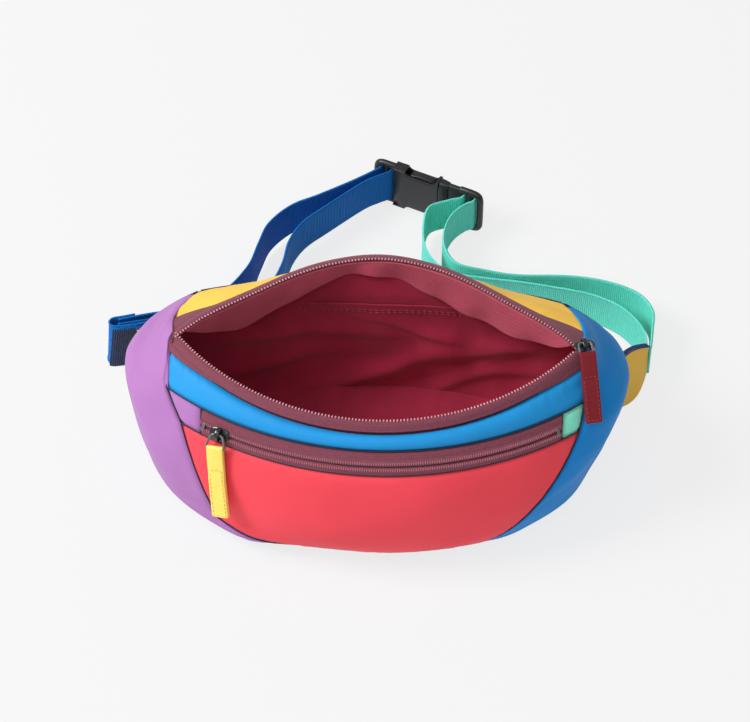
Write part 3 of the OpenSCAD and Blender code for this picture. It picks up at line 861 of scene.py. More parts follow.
@dataclass(frozen=True)
class BodyForm:
    """Sizes of the sewn shell in millimetres, and the surfaces that its panels follow."""

    lip_half: float = 112.0
    lip_sag: float = 52.0
    lip_z: float = 100.0
    front_drop: float = 8.0
    back_rise: float = 10.0
    front_reach: float = 85.0
    front_reach_z: float = 30.0
    front_half: float = 87.0
    front_low_z: float = 5.0
    front_corner_z: float = 20.0
    seam_low: float = 7.0
    seam_corner: tuple[tuple[float, float], tuple[float, float]] = ((86.5, 20.0), (63.5, 11.5))
    seam_top: tuple[float, float] = (107.0, 113.5)
    seam_bow: tuple[float, float] = (0.0, 0.46)
    left_fullness: float = 8.5
    back_depth: float = 58.0
    back_half: float = 134.0
    back_seam_z: float = 88.0
    back_low_z: float = 4.0
    back_corner_z: float = 22.0
    back_waist_z: float = 60.0
    bulge_left: float = 18.0
    bulge_right: float = 14.0
    corner_bow: float = 5.0
    zip_r: float = 193.0
    zip_z: float = 70.0
    zip_w: float = 13.6
    zip_lean: float = 36.0
    zip_depth: float = 71.0
    zip_line: float = 5.2
    zip_left: float = -95.0
    zip_right: float = 103.0
    zip_top_half: float = 116.0
    front_top_half: float = 107.0
    back_top_half: float = 104.0
    back_low_half: float = 135.0
    rim_out: float = 3.5
    rim_off: tuple[float, float] = (4.0, -4.2)
    turn_in: float = 7.0
    side_share: float = 0.62

    @property
    def lip_r(self) -> float:
        """Radius of each lip."""
        return (self.lip_half**2 + self.lip_sag**2) / (2 * self.lip_sag)

    @property
    def zip_c(self) -> float:
        """Distance of the zip band's axis behind the mouth."""
        return self.zip_r - self.zip_depth

    def lip(self, x: Array, out: float, up: float, lip: Lip) -> Array:
        """Returns points near a lip: out is away from the mouth and up is off its plane.

        Args:
            x: Places across the pack.
            out: How far away from the mouth.
            up: How far off the lip's plane.
            lip: Which lip.

        Returns:
            The points.
        """
        yy = np.sqrt((self.lip_r + out) ** 2 - x * x) - (self.lip_r - self.lip_sag)
        if lip is Lip.BACK:
            ax = np.abs(x)
            yy = yy + 2.0 * bell(ax, 0, 26) - 5.5 * bell(ax, 74, 30)
            a = math.asin(self.back_rise / self.lip_sag)
        else:
            a = -math.asin(self.front_drop / self.lip_sag)
        c, s = math.cos(a), math.sin(a)
        return points(x, lip.value * (yy * c - up * s), self.lip_z + yy * s + up * c)

    def zip(self, x: Array, v: Array, n: float = 0.0) -> Array:
        """Returns points on the front zip band: v up its slope, n off its face.

        Args:
            x: Places across the pack.
            v: How far up its slope.
            n: How far off its face.

        Returns:
            The points.
        """
        lean = math.radians(self.zip_lean)
        c, s = math.cos(lean), math.sin(lean)
        r = self.zip_r - v * s + n * c
        return points(x, self.zip_c - np.sqrt(r * r - x * x), self.zip_z + v * c + n * s)

    def front_depth(self, h: Array) -> Array:
        """Returns how far the front panel reaches at a height.

        Args:
            h: Heights.

        Returns:
            The depths.
        """
        over = np.clip((h - self.front_reach_z) / (self.zip_z - self.front_reach_z), 0, None)
        under = np.clip((self.front_reach_z - h) / self.front_reach_z, 0, 1)
        high = self.front_reach - (self.front_reach - self.zip_depth) * over**2
        low = self.front_reach - 28 + 28 * np.sqrt(1 - under**2)
        return np.where(h > self.front_reach_z, high, low)

    def front_width(self, h: Array) -> Array:
        """Returns half the front panel's width at a height."""
        t = np.clip((h - self.front_corner_z) / (self.zip_z - self.front_corner_z), 0, None)
        return self.front_half + (self.front_top_half - self.front_half) * t**1.3

    def front(self, x: Array, h: Array) -> Array:
        """Returns points on the front pocket panel's surface.

        Args:
            x: Places across the pack.
            h: Heights.

        Returns:
            The points.
        """
        r = mix(200.0, self.zip_r, np.clip((h - self.front_reach_z) / (self.zip_z - self.front_reach_z), 0, None))
        low = np.clip((26.0 - h) / 18.0, 0, 1)
        full = self.left_fullness * bell(x, -76.0, 27.0) * eased(low)
        return points(x, r - self.front_depth(h) - full - np.sqrt(r * r - x * x), h)

    def seam_width(self, h: Array, side: Side) -> Array:
        """Returns how far from the middle the front seam of a side runs at a height.

        Args:
            h: Heights.
            side: Which side.

        Returns:
            The half widths.
        """
        k = side.index
        half, corner = self.seam_corner[k]
        t = np.clip((h - corner) / (self.zip_z - corner), 0, None)
        return half + (self.seam_top[k] - half) * (t + self.seam_bow[k] * t * (1 - t))

    def seam_height(self, u: Array, side: Side) -> Array:
        """Returns the height of the front panel's lower seam: u is 0 in the middle and 1 at the corner."""
        corner = self.seam_corner[side.index][1]
        return self.seam_low + (corner - self.seam_low) * np.abs(u) ** 2.2

    def front_panel(self, u: Array, v: Array) -> Array:
        """Returns points on the front panel: u across from -1 to 1, v down from 0 to 1."""
        low = np.where(u < 0, self.seam_height(u, Side.LEFT), self.seam_height(u, Side.RIGHT))
        h = mix(self.zip_z, low, v)
        return self.front(u * np.where(u < 0, self.seam_width(h, Side.LEFT), self.seam_width(h, Side.RIGHT)), h)

    def back_width(self, h: Array) -> Array:
        """Returns half the back panel's width at a height.

        Args:
            h: Heights.

        Returns:
            The half widths.
        """
        over = np.clip(h - self.back_waist_z, 0, None) / (self.back_seam_z - self.back_waist_z)
        high = mix(self.back_half, self.back_top_half, over**2)
        t = np.clip((h - self.back_corner_z) / (self.back_waist_z - self.back_corner_z), None, 1)
        return np.where(h > self.back_waist_z, high, mix(self.back_low_half, self.back_half, t))

    def back(self, x: Array, h: Array) -> Array:
        """Returns points on the back panel's surface.

        Args:
            x: Places across the pack.
            h: Heights.

        Returns:
            The points.
        """
        t = np.abs(x) / self.back_half
        lean = 5.0 * (np.clip(h - self.back_waist_z, 0, None) / (self.back_seam_z - self.back_waist_z)) ** 2
        tuck = 7.0 * (np.clip(40 - h, 0, None) / 40) ** 2
        return points(x, self.back_depth - 20.0 * t**2.5 - lean * t * t - tuck, h)

    def back_panel(self, u: Array, v: Array) -> Array:
        """Returns points on the back panel: u across from -1 to 1, v down from 0 to 1."""
        low = self.back_low_z + (self.back_corner_z - self.back_low_z) * (1 - np.sqrt(np.clip(1 - u * u, 0, 1)))
        h = mix(self.back_seam_z, low, v)
        return self.back(u * np.where(h < self.back_corner_z, self.back_low_half, self.back_width(h)), h)

    def seam_rows(self, s: Array, side: Side, hem: bool) -> Array:
        """Returns a side panel's front seam, or the line where the panel leaves the front's surface.

        Args:
            s: Place along the seam, from the mouth's end at 0 to the middle of the base at 1.
            side: Which side panel.
            hem: Picks the line where the panel turns away from the front, in place of its seam.

        Returns:
            The points, mirrored so that X is positive on both sides.
        """
        s = np.asarray(s, float)
        a, b = 0.1, 0.24
        half, corner = self.seam_corner[side.index]
        down = np.clip((s - b) / (self.side_share - b), 0, 1)
        k = np.radians(90 * (1 - s) / (1 - self.side_share))
        if hem:
            h = mix(self.zip_z, self.front_corner_z, down)
            x = wider(self.front_width(h), self.seam_width(mix(self.zip_z, corner, down), side) + self.turn_in)
            base_h = self.front_corner_z - (self.front_corner_z - self.front_low_z) * np.cos(k)
            half = wider(self.front_half, half + self.turn_in)
        else:
            h = mix(self.zip_z, corner, down)
            x = self.seam_width(h, side)
            base_h = self.seam_height(np.sin(k), side)
        base_x = half * np.sin(k)
        low = s >= self.side_share
        p = self.front(side.value * np.where(low, base_x, x), np.where(low, base_h, h))
        p[..., 0] *= side.value
        top = self.lip(np.array(self.lip_half + self.rim_out), *self.rim_off, Lip.FRONT)
        z1 = self.zip(np.array(self.zip_top_half), np.array(self.zip_w))
        z0 = self.zip(np.array(self.seam_top[side.index]), np.array(0.0))
        s3 = s[..., None]
        high = np.where(s3 < a, mix(top, z1, s3 / a), mix(z1, z0, (s3 - a) / (b - a)))
        if hem:
            first = self.seam_rows(np.array([b]), side, False)[0]
            turn = self.seam_rows(np.array([b + 1e-6]), side, True)[0] - first if np.any(s < b) else np.zeros(3)
            high = high + turn * np.clip(s3 / b, 0, 1) ** 2
        return np.where(s3 < b, high, p)

    def seam_front(self, s: Array, side: Side) -> Array:
        """Returns the side panel's front seam, from the mouth's end at 0 to the middle of the base at 1."""
        return self.seam_rows(s, side, False)

    def seam_back(self, s: Array) -> Array:
        """Returns the side panel's back seam, from the top at 0 to the middle of the base at 1.

        Args:
            s: Places along the seam.

        Returns:
            The points.
        """
        s = np.asarray(s, float)
        h = mix(self.back_seam_z, self.back_corner_z, np.clip(s / self.side_share, 0, 1))
        side = self.back(self.back_width(h), h)
        k = np.radians(90 * (1 - s) / (1 - self.side_share))
        low = self.back_corner_z - (self.back_corner_z - self.back_low_z) * np.cos(k)
        base = self.back(self.back_low_half * np.sin(k), low)
        return np.where(s[..., None] < self.side_share, side, base)

    def arch(self, s: Array, t: Array, side: Side) -> Array:
        """Returns the bulging side surface between its two seams, before its top is shaped.

        Args:
            s: Places along the seams, from 0 to 1.
            t: From the front seam at 0 to the back seam at 1.
            side: Which side.

        Returns:
            The points, with X positive on both sides.
        """
        bulge = self.bulge_left if side is Side.LEFT else self.bulge_right
        lead = 0.16
        seam, hem, back = self.seam_rows(s, side, False), self.seam_rows(s, side, True), self.seam_back(s)
        q = np.clip((t - lead) / (1 - lead), 0, 1)
        k = np.where(s < self.side_share, math.pi / 2, np.radians(90 * (1 - s) / (1 - self.side_share)))
        high = np.where(s < 0.2, mix(0.35, 1.0, s / 0.2), 1.0)
        lift = (6.5 + (bulge - 6.5) * np.sin(k) ** 4) * high * (1 - np.abs(2 * q - 1) ** 2.6) * (t > lead)
        way = points(np.sin(k) * 0.97, -0.24 * np.sin(k), -np.cos(k))
        t3, crown = t[..., None], mix(hem, back, q[..., None]) + lift[..., None] * way
        p = np.where(t3 < lead, mix(seam, hem, t3 / lead), crown)
        if p.ndim == 3 and p.shape[1] > 8:
            soft = np.clip(1 - np.abs(t - lead) / 0.2, 0, 1)[..., None]
            for _ in range(14):
                near = p.copy()
                near[:, 1:-1] = (p[:, :-2] + p[:, 2:]) / 2
                p = mix(p, near, 0.9 * soft)
        return p

    def gusset(self, s: Array, t: Array, side: Side) -> Array:
        """Returns points on a side panel: s down from the mouth, t from front to back.

        Args:
            s: From 0 at the mouth to 1 under the base.
            t: From 0 at the front to 1 at the back.
            side: Which side.

        Returns:
            The points.
        """
        zero = np.zeros_like(t)
        end = self.lip(np.array(self.lip_half + 3.0), 1.0, 0.0, Lip.FRONT)
        t3 = t[..., None]
        q = (t3 - 0.14) / 0.86
        bow = np.sin(math.pi * np.clip(q, 0, 1)) * np.array([self.corner_bow, 0.0, 0.0])
        fore, aft = mix(self.seam_front(zero, side), end, t3 / 0.14), mix(end, self.seam_back(zero), q) + bow
        top = np.where(t3 < 0.14, fore, aft)
        p = self.arch(s, t, side) + (top - self.arch(zero, t, side)) * np.clip(1 - s / 0.3, 0, None)[..., None] ** 2
        p[..., 2] = np.maximum(p[..., 2], 0)
        p[..., 0] *= side.value
        return p

    def patch(self, u: Array, lip: Lip) -> Array:
        """Returns the share of a lip panel that the zip tape covers, which widens at the mouth's ends."""
        share = 0.3 if lip is Lip.BACK else 0.15
        return share * eased(np.clip((np.abs(u) - 0.72) / 0.28, 0, 1))

    def strip(self, u: Array, t: Array) -> Array:
        """Returns points on the strip between the mouth and the front zip.

        Args:
            u: Across, from -1 to 1.
            t: From the mouth at 0 to the zip at 1.

        Returns:
            The points.
        """
        a = self.lip((self.lip_half + self.rim_out) * u, *self.rim_off, Lip.FRONT)
        b = self.zip(self.zip_top_half * u, np.full_like(u, self.zip_w))
        puff = 2.2 * np.sin(math.pi * t) * (1 - np.abs(u) ** 4)
        return mix(a, b, t[..., None]) + points(0 * u, -0.6 * puff, 0.8 * puff)

    def saddle(self, u: Array, t: Array) -> Array:
        """Returns points on the panel behind the mouth.

        Args:
            u: Across, from -1 to 1.
            t: From the mouth at 0 to the back seam at 1.

        Returns:
            The points.
        """
        a = self.lip((self.lip_half + self.rim_out) * u, *self.rim_off, Lip.BACK)
        b = self.back(self.back_top_half * u, np.full_like(u, self.back_seam_z))
        puff = 2.5 * np.sin(math.pi * t) * (1 - np.abs(u) ** 4)
        bow = self.corner_bow * np.sin(math.pi * t) * np.sign(u) * np.abs(u) ** 7
        return mix(a, b, t[..., None]) + points(bow, 0.5 * puff, 0.85 * puff)


# ---- sewn panels


@dataclass
class ShellPanels:
    """The outer cloth: every panel turned in at its seams, with the soft gathers that sewing leaves."""

    form: BodyForm
    finish: Finishes
    cloth: float = 1.2
    tuck: float = 1.7
    tuck_width: float = 1.9
    pucker: float = 0.28
    left_shift: float = 0.04

    def sewn(self, p: Array, outward: Array, seed: int, soft: float = 1.0) -> Array:
        """Turns a panel's edges in and gathers the cloth beside them.

        Args:
            p: Grid of points on the panel's outer face.
            outward: A rough outward direction.
            seed: Picks the panel's own gathers.
            soft: How strong the gathers are.

        Returns:
            The grid with its edges sewn in.
        """
        n = grid_normals(p)
        n = n * np.sum(n * outward, axis=-1, keepdims=True)
        for _ in range(40):
            q = np.pad(n, ((1, 1), (1, 1), (0, 0)), mode="edge")
            n = (q[:-2, 1:-1] + q[2:, 1:-1] + q[1:-1, :-2] + q[1:-1, 2:] + 2 * n) / 6
        n = unit(n)
        u, v = run_lengths(p, 1), run_lengths(p, 0)
        rims = ((v, u), (v[-1:] - v, u), (u, v), (u[:, -1:] - u, v))
        move = np.zeros(p.shape[:2])
        for k, (d, s) in enumerate(rims):
            move = move - self.tuck * np.exp(-((d / self.tuck_width) ** 1.4))
            near = np.exp(-d / 6.0) * (1 - np.exp(-((d / 1.6) ** 2)))
            move = move + self.pucker * soft * near * ripple(s, 9.0, seed + 7 * k)
        return p + n * move[..., None]

    def rolls(self, p: Array, outward: Array, size: float, height: float, seed: int) -> Array:
        """Adds broad soft rolls over a panel, fading to nothing at its seams.

        Args:
            p: Grid of points.
            outward: A rough outward direction.
            size: Mean distance between rolls.
            height: How high they stand.
            seed: Picks one of many.

        Returns:
            The moved grid.
        """
        n = facing_normals(p, outward)
        u, v = run_lengths(p, 1), run_lengths(p, 0)
        rim = np.minimum(np.minimum(u, u[:, -1:] - u), np.minimum(v, v[-1:] - v))
        fade = 1 - np.exp(-((rim / 9.0) ** 2))
        return p + n * (height * fade * rumple(u, v * 1.6, size, seed))[..., None]

    def outward_of(self, p: Array) -> Array:
        """Returns the directions away from the middle of the pack."""
        return unit(p - np.array([0.0, 0.0, 48.0]))

    def panel(
        self,
        name: str,
        p: Array,
        finish: tuple[Finish, str],
        seed: int,
        roll: tuple[float, float],
        node: str,
    ) -> Piece:
        """Makes one sewn panel that stands for its solids.

        Args:
            name: The piece's name.
            p: Grid of points.
            finish: Its material, and a slot name that is not used.
            seed: Picks one of many.
            roll: Size and height of its soft rolls.
            node: The solid that it stands for.

        Returns:
            The piece.
        """
        out = self.outward_of(p)
        p = self.rolls(p, out, roll[0], roll[1], seed)
        p = self.sewn(p, out, seed)
        p[..., 2] = np.maximum(p[..., 2], 0.05)
        obj = finish_piece(sheet_from_grid(name, p, self.cloth, out), finish[0], "pack", [node])
        return cut_cloth(obj)

    def wide_panels(self) -> None:
        """Makes the panels that run from side to side: front pocket, front strip, saddle and wearer's side."""
        form, look = self.form, self.finish
        v, u = np.meshgrid(crowded(64), 2 * crowded(120) - 1, indexing="ij")
        p = form.front_panel(np.sin(u * math.pi / 2), v)
        self.panel("front_pocket_cloth", p, (look.red, "red_fabric"), 11, (52.0, 0.55), "front_pocket_panel")
        t, u = np.meshgrid(crowded(34), 2 * crowded(130) - 1, indexing="ij")
        p = form.strip(u, mix(form.patch(u, Lip.FRONT), 1.0, t))
        self.panel("upper_front_cloth", p, (look.sky, "sky_fabric"), 23, (40.0, 0.35), "upper_front_panel")
        p = form.saddle(u, mix(form.patch(u, Lip.BACK), 1.0, t))
        self.panel("top_back_cloth", p, (look.yellow, "yellow_fabric"), 31, (36.0, 0.5), "top_back_panel")
        v, u = np.meshgrid(crowded(60), 2 * crowded(130) - 1, indexing="ij")
        p = form.back_panel(np.sin(u * math.pi / 2), v)
        self.panel("back_cloth", p, (look.navy, "navy_fabric"), 41, (60.0, 0.5), "back_panel")

    def gusset(self, side: Side) -> Piece:
        """Makes the bulging side panel that runs under the base.

        Args:
            side: Which side.

        Returns:
            The piece.
        """
        last = 1 + self.left_shift if side is Side.LEFT else 1 - self.left_shift
        s, t = np.meshgrid(crowded(150, 0.6) * last, crowded(72), indexing="ij")
        p = self.form.gusset(s, t, side)
        finish = ((self.finish.purple, "purple_fabric"), (self.finish.blue, "blue_fabric"))[side.index]
        name = f"side_cloth_{side.word}"
        return self.panel(name, p, finish, 53 + side.value, (44.0, 0.8), f"gusset_{side.word}")

    def zip_end(self, side: Side, x_in: float) -> Piece:
        """Makes the small piece that closes the zip band beside the side panel.

        Args:
            side: Which side.
            x_in: Where its inner edge lies.

        Returns:
            The piece.
        """
        w, j = np.meshgrid(crowded(20, 0.6), crowded(22, 0.6), indexing="ij")
        v = w * self.form.zip_w
        x_out = side.value * mix(self.form.seam_top[side.index], self.form.zip_top_half, w)
        p = self.form.zip(mix(x_in, x_out, j), v)
        finish = ((self.finish.purple, "purple_fabric"), (self.finish.mint, "mint_fabric"))[side.index]
        p = self.sewn(p, self.outward_of(p), 71 + side.value, 0.6)
        obj = sheet_from_grid(f"zip_end_cloth_{side.word}", p, self.cloth, self.outward_of(p))
        finish_piece(obj, finish[0], "pack", [f"zip_end_{side.word}"])
        return cut_cloth(obj)

    def seam_shade_cord(self, name: str, path: Array, depth: float = 0.8) -> Piece:
        """Lays a dark tube in the groove of a seam: the seam's dark thread together with the groove's painted shade.
        """
        obj = make_mesh(f"seam_{name}", *tube(path - self.outward_of(path) * depth, 0.42, 8))
        return finish_piece(obj, self.finish.seam_thread, "pack")

    def seams(self) -> None:
        """Lays the dark line of thread and painted shade in every seam that shows from outside."""
        form, s = self.form, np.linspace(0.004, 1.0, 240)
        for side in Side:
            for edge, path, depth in (("front", form.seam_front(s, side), 0.8), ("back", form.seam_back(s), 1.3)):
                self.seam_shade_cord(f"{side.word}_{edge}", path * np.array([side.value, 1.0, 1.0]), depth)
        u = np.sin(np.linspace(-math.pi / 2, math.pi / 2, 200))
        self.seam_shade_cord("strip_low", form.zip(115.5 * u, np.full_like(u, form.zip_w)))
        self.seam_shade_cord("strip_high", form.strip(u, form.patch(u, Lip.FRONT)), 0.6)
        self.seam_shade_cord("saddle_front", form.saddle(u, form.patch(u, Lip.BACK)), 0.6)
        self.seam_shade_cord("saddle_back", form.back(103.0 * u, np.full_like(u, form.back_seam_z)), 1.3)
        self.seam_shade_cord("pocket_top", form.zip(mix(-form.seam_top[0], form.seam_top[1], (u + 1) / 2), 0 * u))
        v = np.linspace(0, form.zip_w, 20)
        for name, x in (("left", form.zip_left), ("right", form.zip_right)):
            self.seam_shade_cord(f"zip_{name}", form.zip(np.full_like(v, x), v), 0.3)

    def build(self) -> None:
        """Makes every outer panel."""
        self.seams()
        self.wide_panels()
        for side, x_in in ((Side.LEFT, self.form.zip_left), (Side.RIGHT, self.form.zip_right)):
            self.gusset(side)
            self.zip_end(side, x_in)


# ---- zips


def tooth(size: tuple[float, float, float], rings: int = 6, sides: int = 8) -> Solid:
    """Returns a small rounded bead about the origin, with the given half sizes.

    Args:
        size: Half sizes along, across and up.
        rings: Steps from end to end.
        sides: Steps around.

    Returns:
        Its points and faces.
    """
    phi = np.linspace(0, math.pi, rings)[1:-1]
    ang = np.linspace(0, 2 * math.pi, sides, endpoint=False)
    ring = [points(math.sin(f) ** 0.8 * np.cos(ang), math.sin(f) ** 0.8 * np.sin(ang), math.cos(f)) for f in phi]
    verts = np.concatenate([[[0, 0, 1]], *ring, [[0, 0, -1]]]) * np.array(size)
    faces: list[list[int]] = []
    last = len(verts) - 1
    for k in range(sides):
        m = (k + 1) % sides
        faces.append([0, 1 + k, 1 + m])
        for r in range(len(phi) - 1):
            a = 1 + r * sides
            faces.append([a + k, a + sides + k, a + sides + m, a + m])
        a = 1 + (len(phi) - 1) * sides
        faces.append([a + m, a + k, last])
    return verts, faces


@dataclass
class MainZip:
    """The open zip of the mouth: a tape and a row of teeth on each lip."""

    form: BodyForm
    finish: Finishes
    pitch: float = 1.86

    def tape(self, lip: Lip) -> Piece:
        """Makes the tape of one lip, sloping away from its teeth and widening at the mouth's ends.

        Args:
            lip: Which lip.

        Returns:
            The piece.
        """
        u = np.sin(np.linspace(-math.pi / 2, math.pi / 2, 170))
        x = (self.form.lip_half + 1.0) * u
        rows = []
        for out, up in ((-1.6, -1.5), (-1.2, -0.3), (-0.4, 0.2), (0.6, 0.2), (1.6, -0.4), (2.8, -1.4)):
            rows.append(self.form.lip(x, out, up, lip))
        panel = self.form.strip if lip is Lip.FRONT else self.form.saddle
        share = self.form.patch(u, lip)
        for q in (-0.02, 0.0, 0.25, 0.5, 0.75, 1.0, 1.12):
            p = panel(u, np.clip(share * max(q, 0), 0, 1))
            p[:, 2] += 0.9 - 1.6 * max(q - 0.4, 0) ** 2 * (share > 0.01) - (0.5 if q > 1.1 else 0.0)
            rows.append(p)
        p = np.stack(rows)
        name = lip.name.lower()
        obj = sheet_from_grid(f"mouth_tape_{name}", p, 0.7, np.array([0, 0, 1.0]))
        return finish_piece(obj, self.finish.tape, "pack", [f"main_tape_{name}"])

    def teeth(self, lip: Lip) -> Piece:
        """Makes one row of coil teeth along a lip.

        Args:
            lip: Which lip.

        Returns:
            The piece.
        """
        heap = Heap()
        fine = self.form.lip(np.linspace(0.4 - self.form.lip_half, self.form.lip_half - 3, 900), -1.1, 0.35, lip)
        s = path_lengths(fine)
        shape, faces = tooth((0.5, 0.85, 0.6))
        for k in range(int(s[-1] / self.pitch)):
            at = (k + 0.5) * self.pitch
            here = path_points(at, s, fine)
            along = unit(path_points(at + 0.5, s, fine) - here)
            across = unit(np.cross(along, np.array([0, 0, 1.0])))
            up = np.cross(across, along)
            heap.add(here + shape @ np.stack([along, across, up]), faces)
        name = lip.name.lower()
        obj = heap.build(f"mouth_teeth_{name}")
        return finish_piece(obj, self.finish.tooth, "pack", [f"main_chain_{name}"])

    def build(self) -> None:
        """Makes both lips' tape and teeth."""
        for lip in Lip:
            self.tape(lip)
            self.teeth(lip)


@dataclass
class FrontZip:
    """The closed front zip: two tapes that meet over their hidden coils."""

    form: BodyForm
    finish: Finishes
    rib_pitch: float = 1.27

    def band(self, v: Sequence[float], n: Sequence[float]) -> Array:
        """Returns a grid along the zip band through the given rows.

        Args:
            v: The rows' places up the slope.
            n: The rows' heights off the face.

        Returns:
            The points.
        """
        rows = []
        for vk, nk in zip(v, n):
            r = self.form.zip_r - vk * math.sin(math.radians(self.form.zip_lean))
            a = np.linspace(math.asin(self.form.zip_left / r), math.asin(self.form.zip_right / r), 220)
            rows.append(self.form.zip(r * np.sin(a), np.full_like(a, vk), nk))
        return np.stack(rows)

    def tape(self, upper: bool) -> Piece:
        """Makes the upper or the lower tape, with its rolled edge at the middle.

        Args:
            upper: Whether it is the upper one.

        Returns:
            The piece.
        """
        roll, rise = np.array([0.12, 0.3, 1.2, 2.2, 2.9]), [-0.7, 0.1, 0.5, 0.5, 0.12]
        if upper:
            v = [*(self.form.zip_line + roll), 7.8, 9.2, 11.0, 12.6, 13.6]
            n = [*rise, 0.0, 0.0, -0.05, -0.3, -1.5]
        else:
            v = [0.0, 0.6, *(self.form.zip_line - roll[::-1])]
            n = [-1.5, -0.3, *rise[::-1]]
        p = self.band(v, n)
        name = "upper" if upper else "lower"
        obj = sheet_from_grid(f"front_tape_{name}", p, 0.7, np.array([0, -0.8, 0.6]))
        return finish_piece(obj, self.finish.tape, "pack", [f"front_zip_tape_{name}"])

    def ribs(self) -> Piece:
        """Makes the two rows of raised threads that hold the coils under the tapes.

        Returns:
            The piece.
        """
        heap = Heap()
        shape, faces = tooth((0.36, 1.05, 0.42), 5, 6)
        lean = math.radians(self.form.zip_lean)
        for v in (self.form.zip_line - 1.75, self.form.zip_line + 1.75):
            r = self.form.zip_r - v * math.sin(lean)
            step = self.rib_pitch / r
            start, end = (math.asin(x / self.form.zip_r) for x in (self.form.zip_left, self.form.zip_right))
            for k in range(int((end - start) / step)):
                a = start + (k + 0.5) * step
                here = self.form.zip(np.array(r * math.sin(a)), np.array(v), 0.52)
                along = np.array([math.cos(a), math.sin(a), 0.0])
                up = np.array([math.sin(a) * math.cos(lean), -math.cos(a) * math.cos(lean), math.sin(lean)])
                heap.add(here + shape @ np.stack([along, np.cross(up, along), up]), faces)
        obj = heap.build("front_zip_threads")
        return finish_piece(obj, self.finish.rib_thread, "pack", ["front_zip_coils"])

    def stops(self) -> Piece:
        """Makes the staple that closes each end of the zip.

        Returns:
            The piece.
        """
        heap = Heap()
        for x in (self.form.zip_left + 0.4, self.form.zip_right - 0.4):
            a = np.arcsin(x / self.form.zip_r) + np.linspace(-0.9, 0.9, 7) / self.form.zip_r
            rings = []
            for k, turn in enumerate(a):
                ring = rounded_ring(2.3, 0.42 if 0 < k < 6 else 0.25, 3.0, 20)
                v = self.form.zip_line + ring[:, 0]
                r = self.form.zip_r - v * math.sin(math.radians(self.form.zip_lean))
                lift = 0.95 + ring[:, 2]
                rings.append(self.form.zip(r * math.sin(turn), v, lift))
            heap.add(*lofted(rings))
        obj = heap.build("front_zip_staples")
        return finish_piece(obj, self.finish.wire, "pack", ["front_zip_stops"])

    def build(self) -> None:
        """Makes both tapes, their threads and the staples."""
        self.tape(True)
        self.tape(False)
        self.ribs()
        self.stops()


# ---- inside


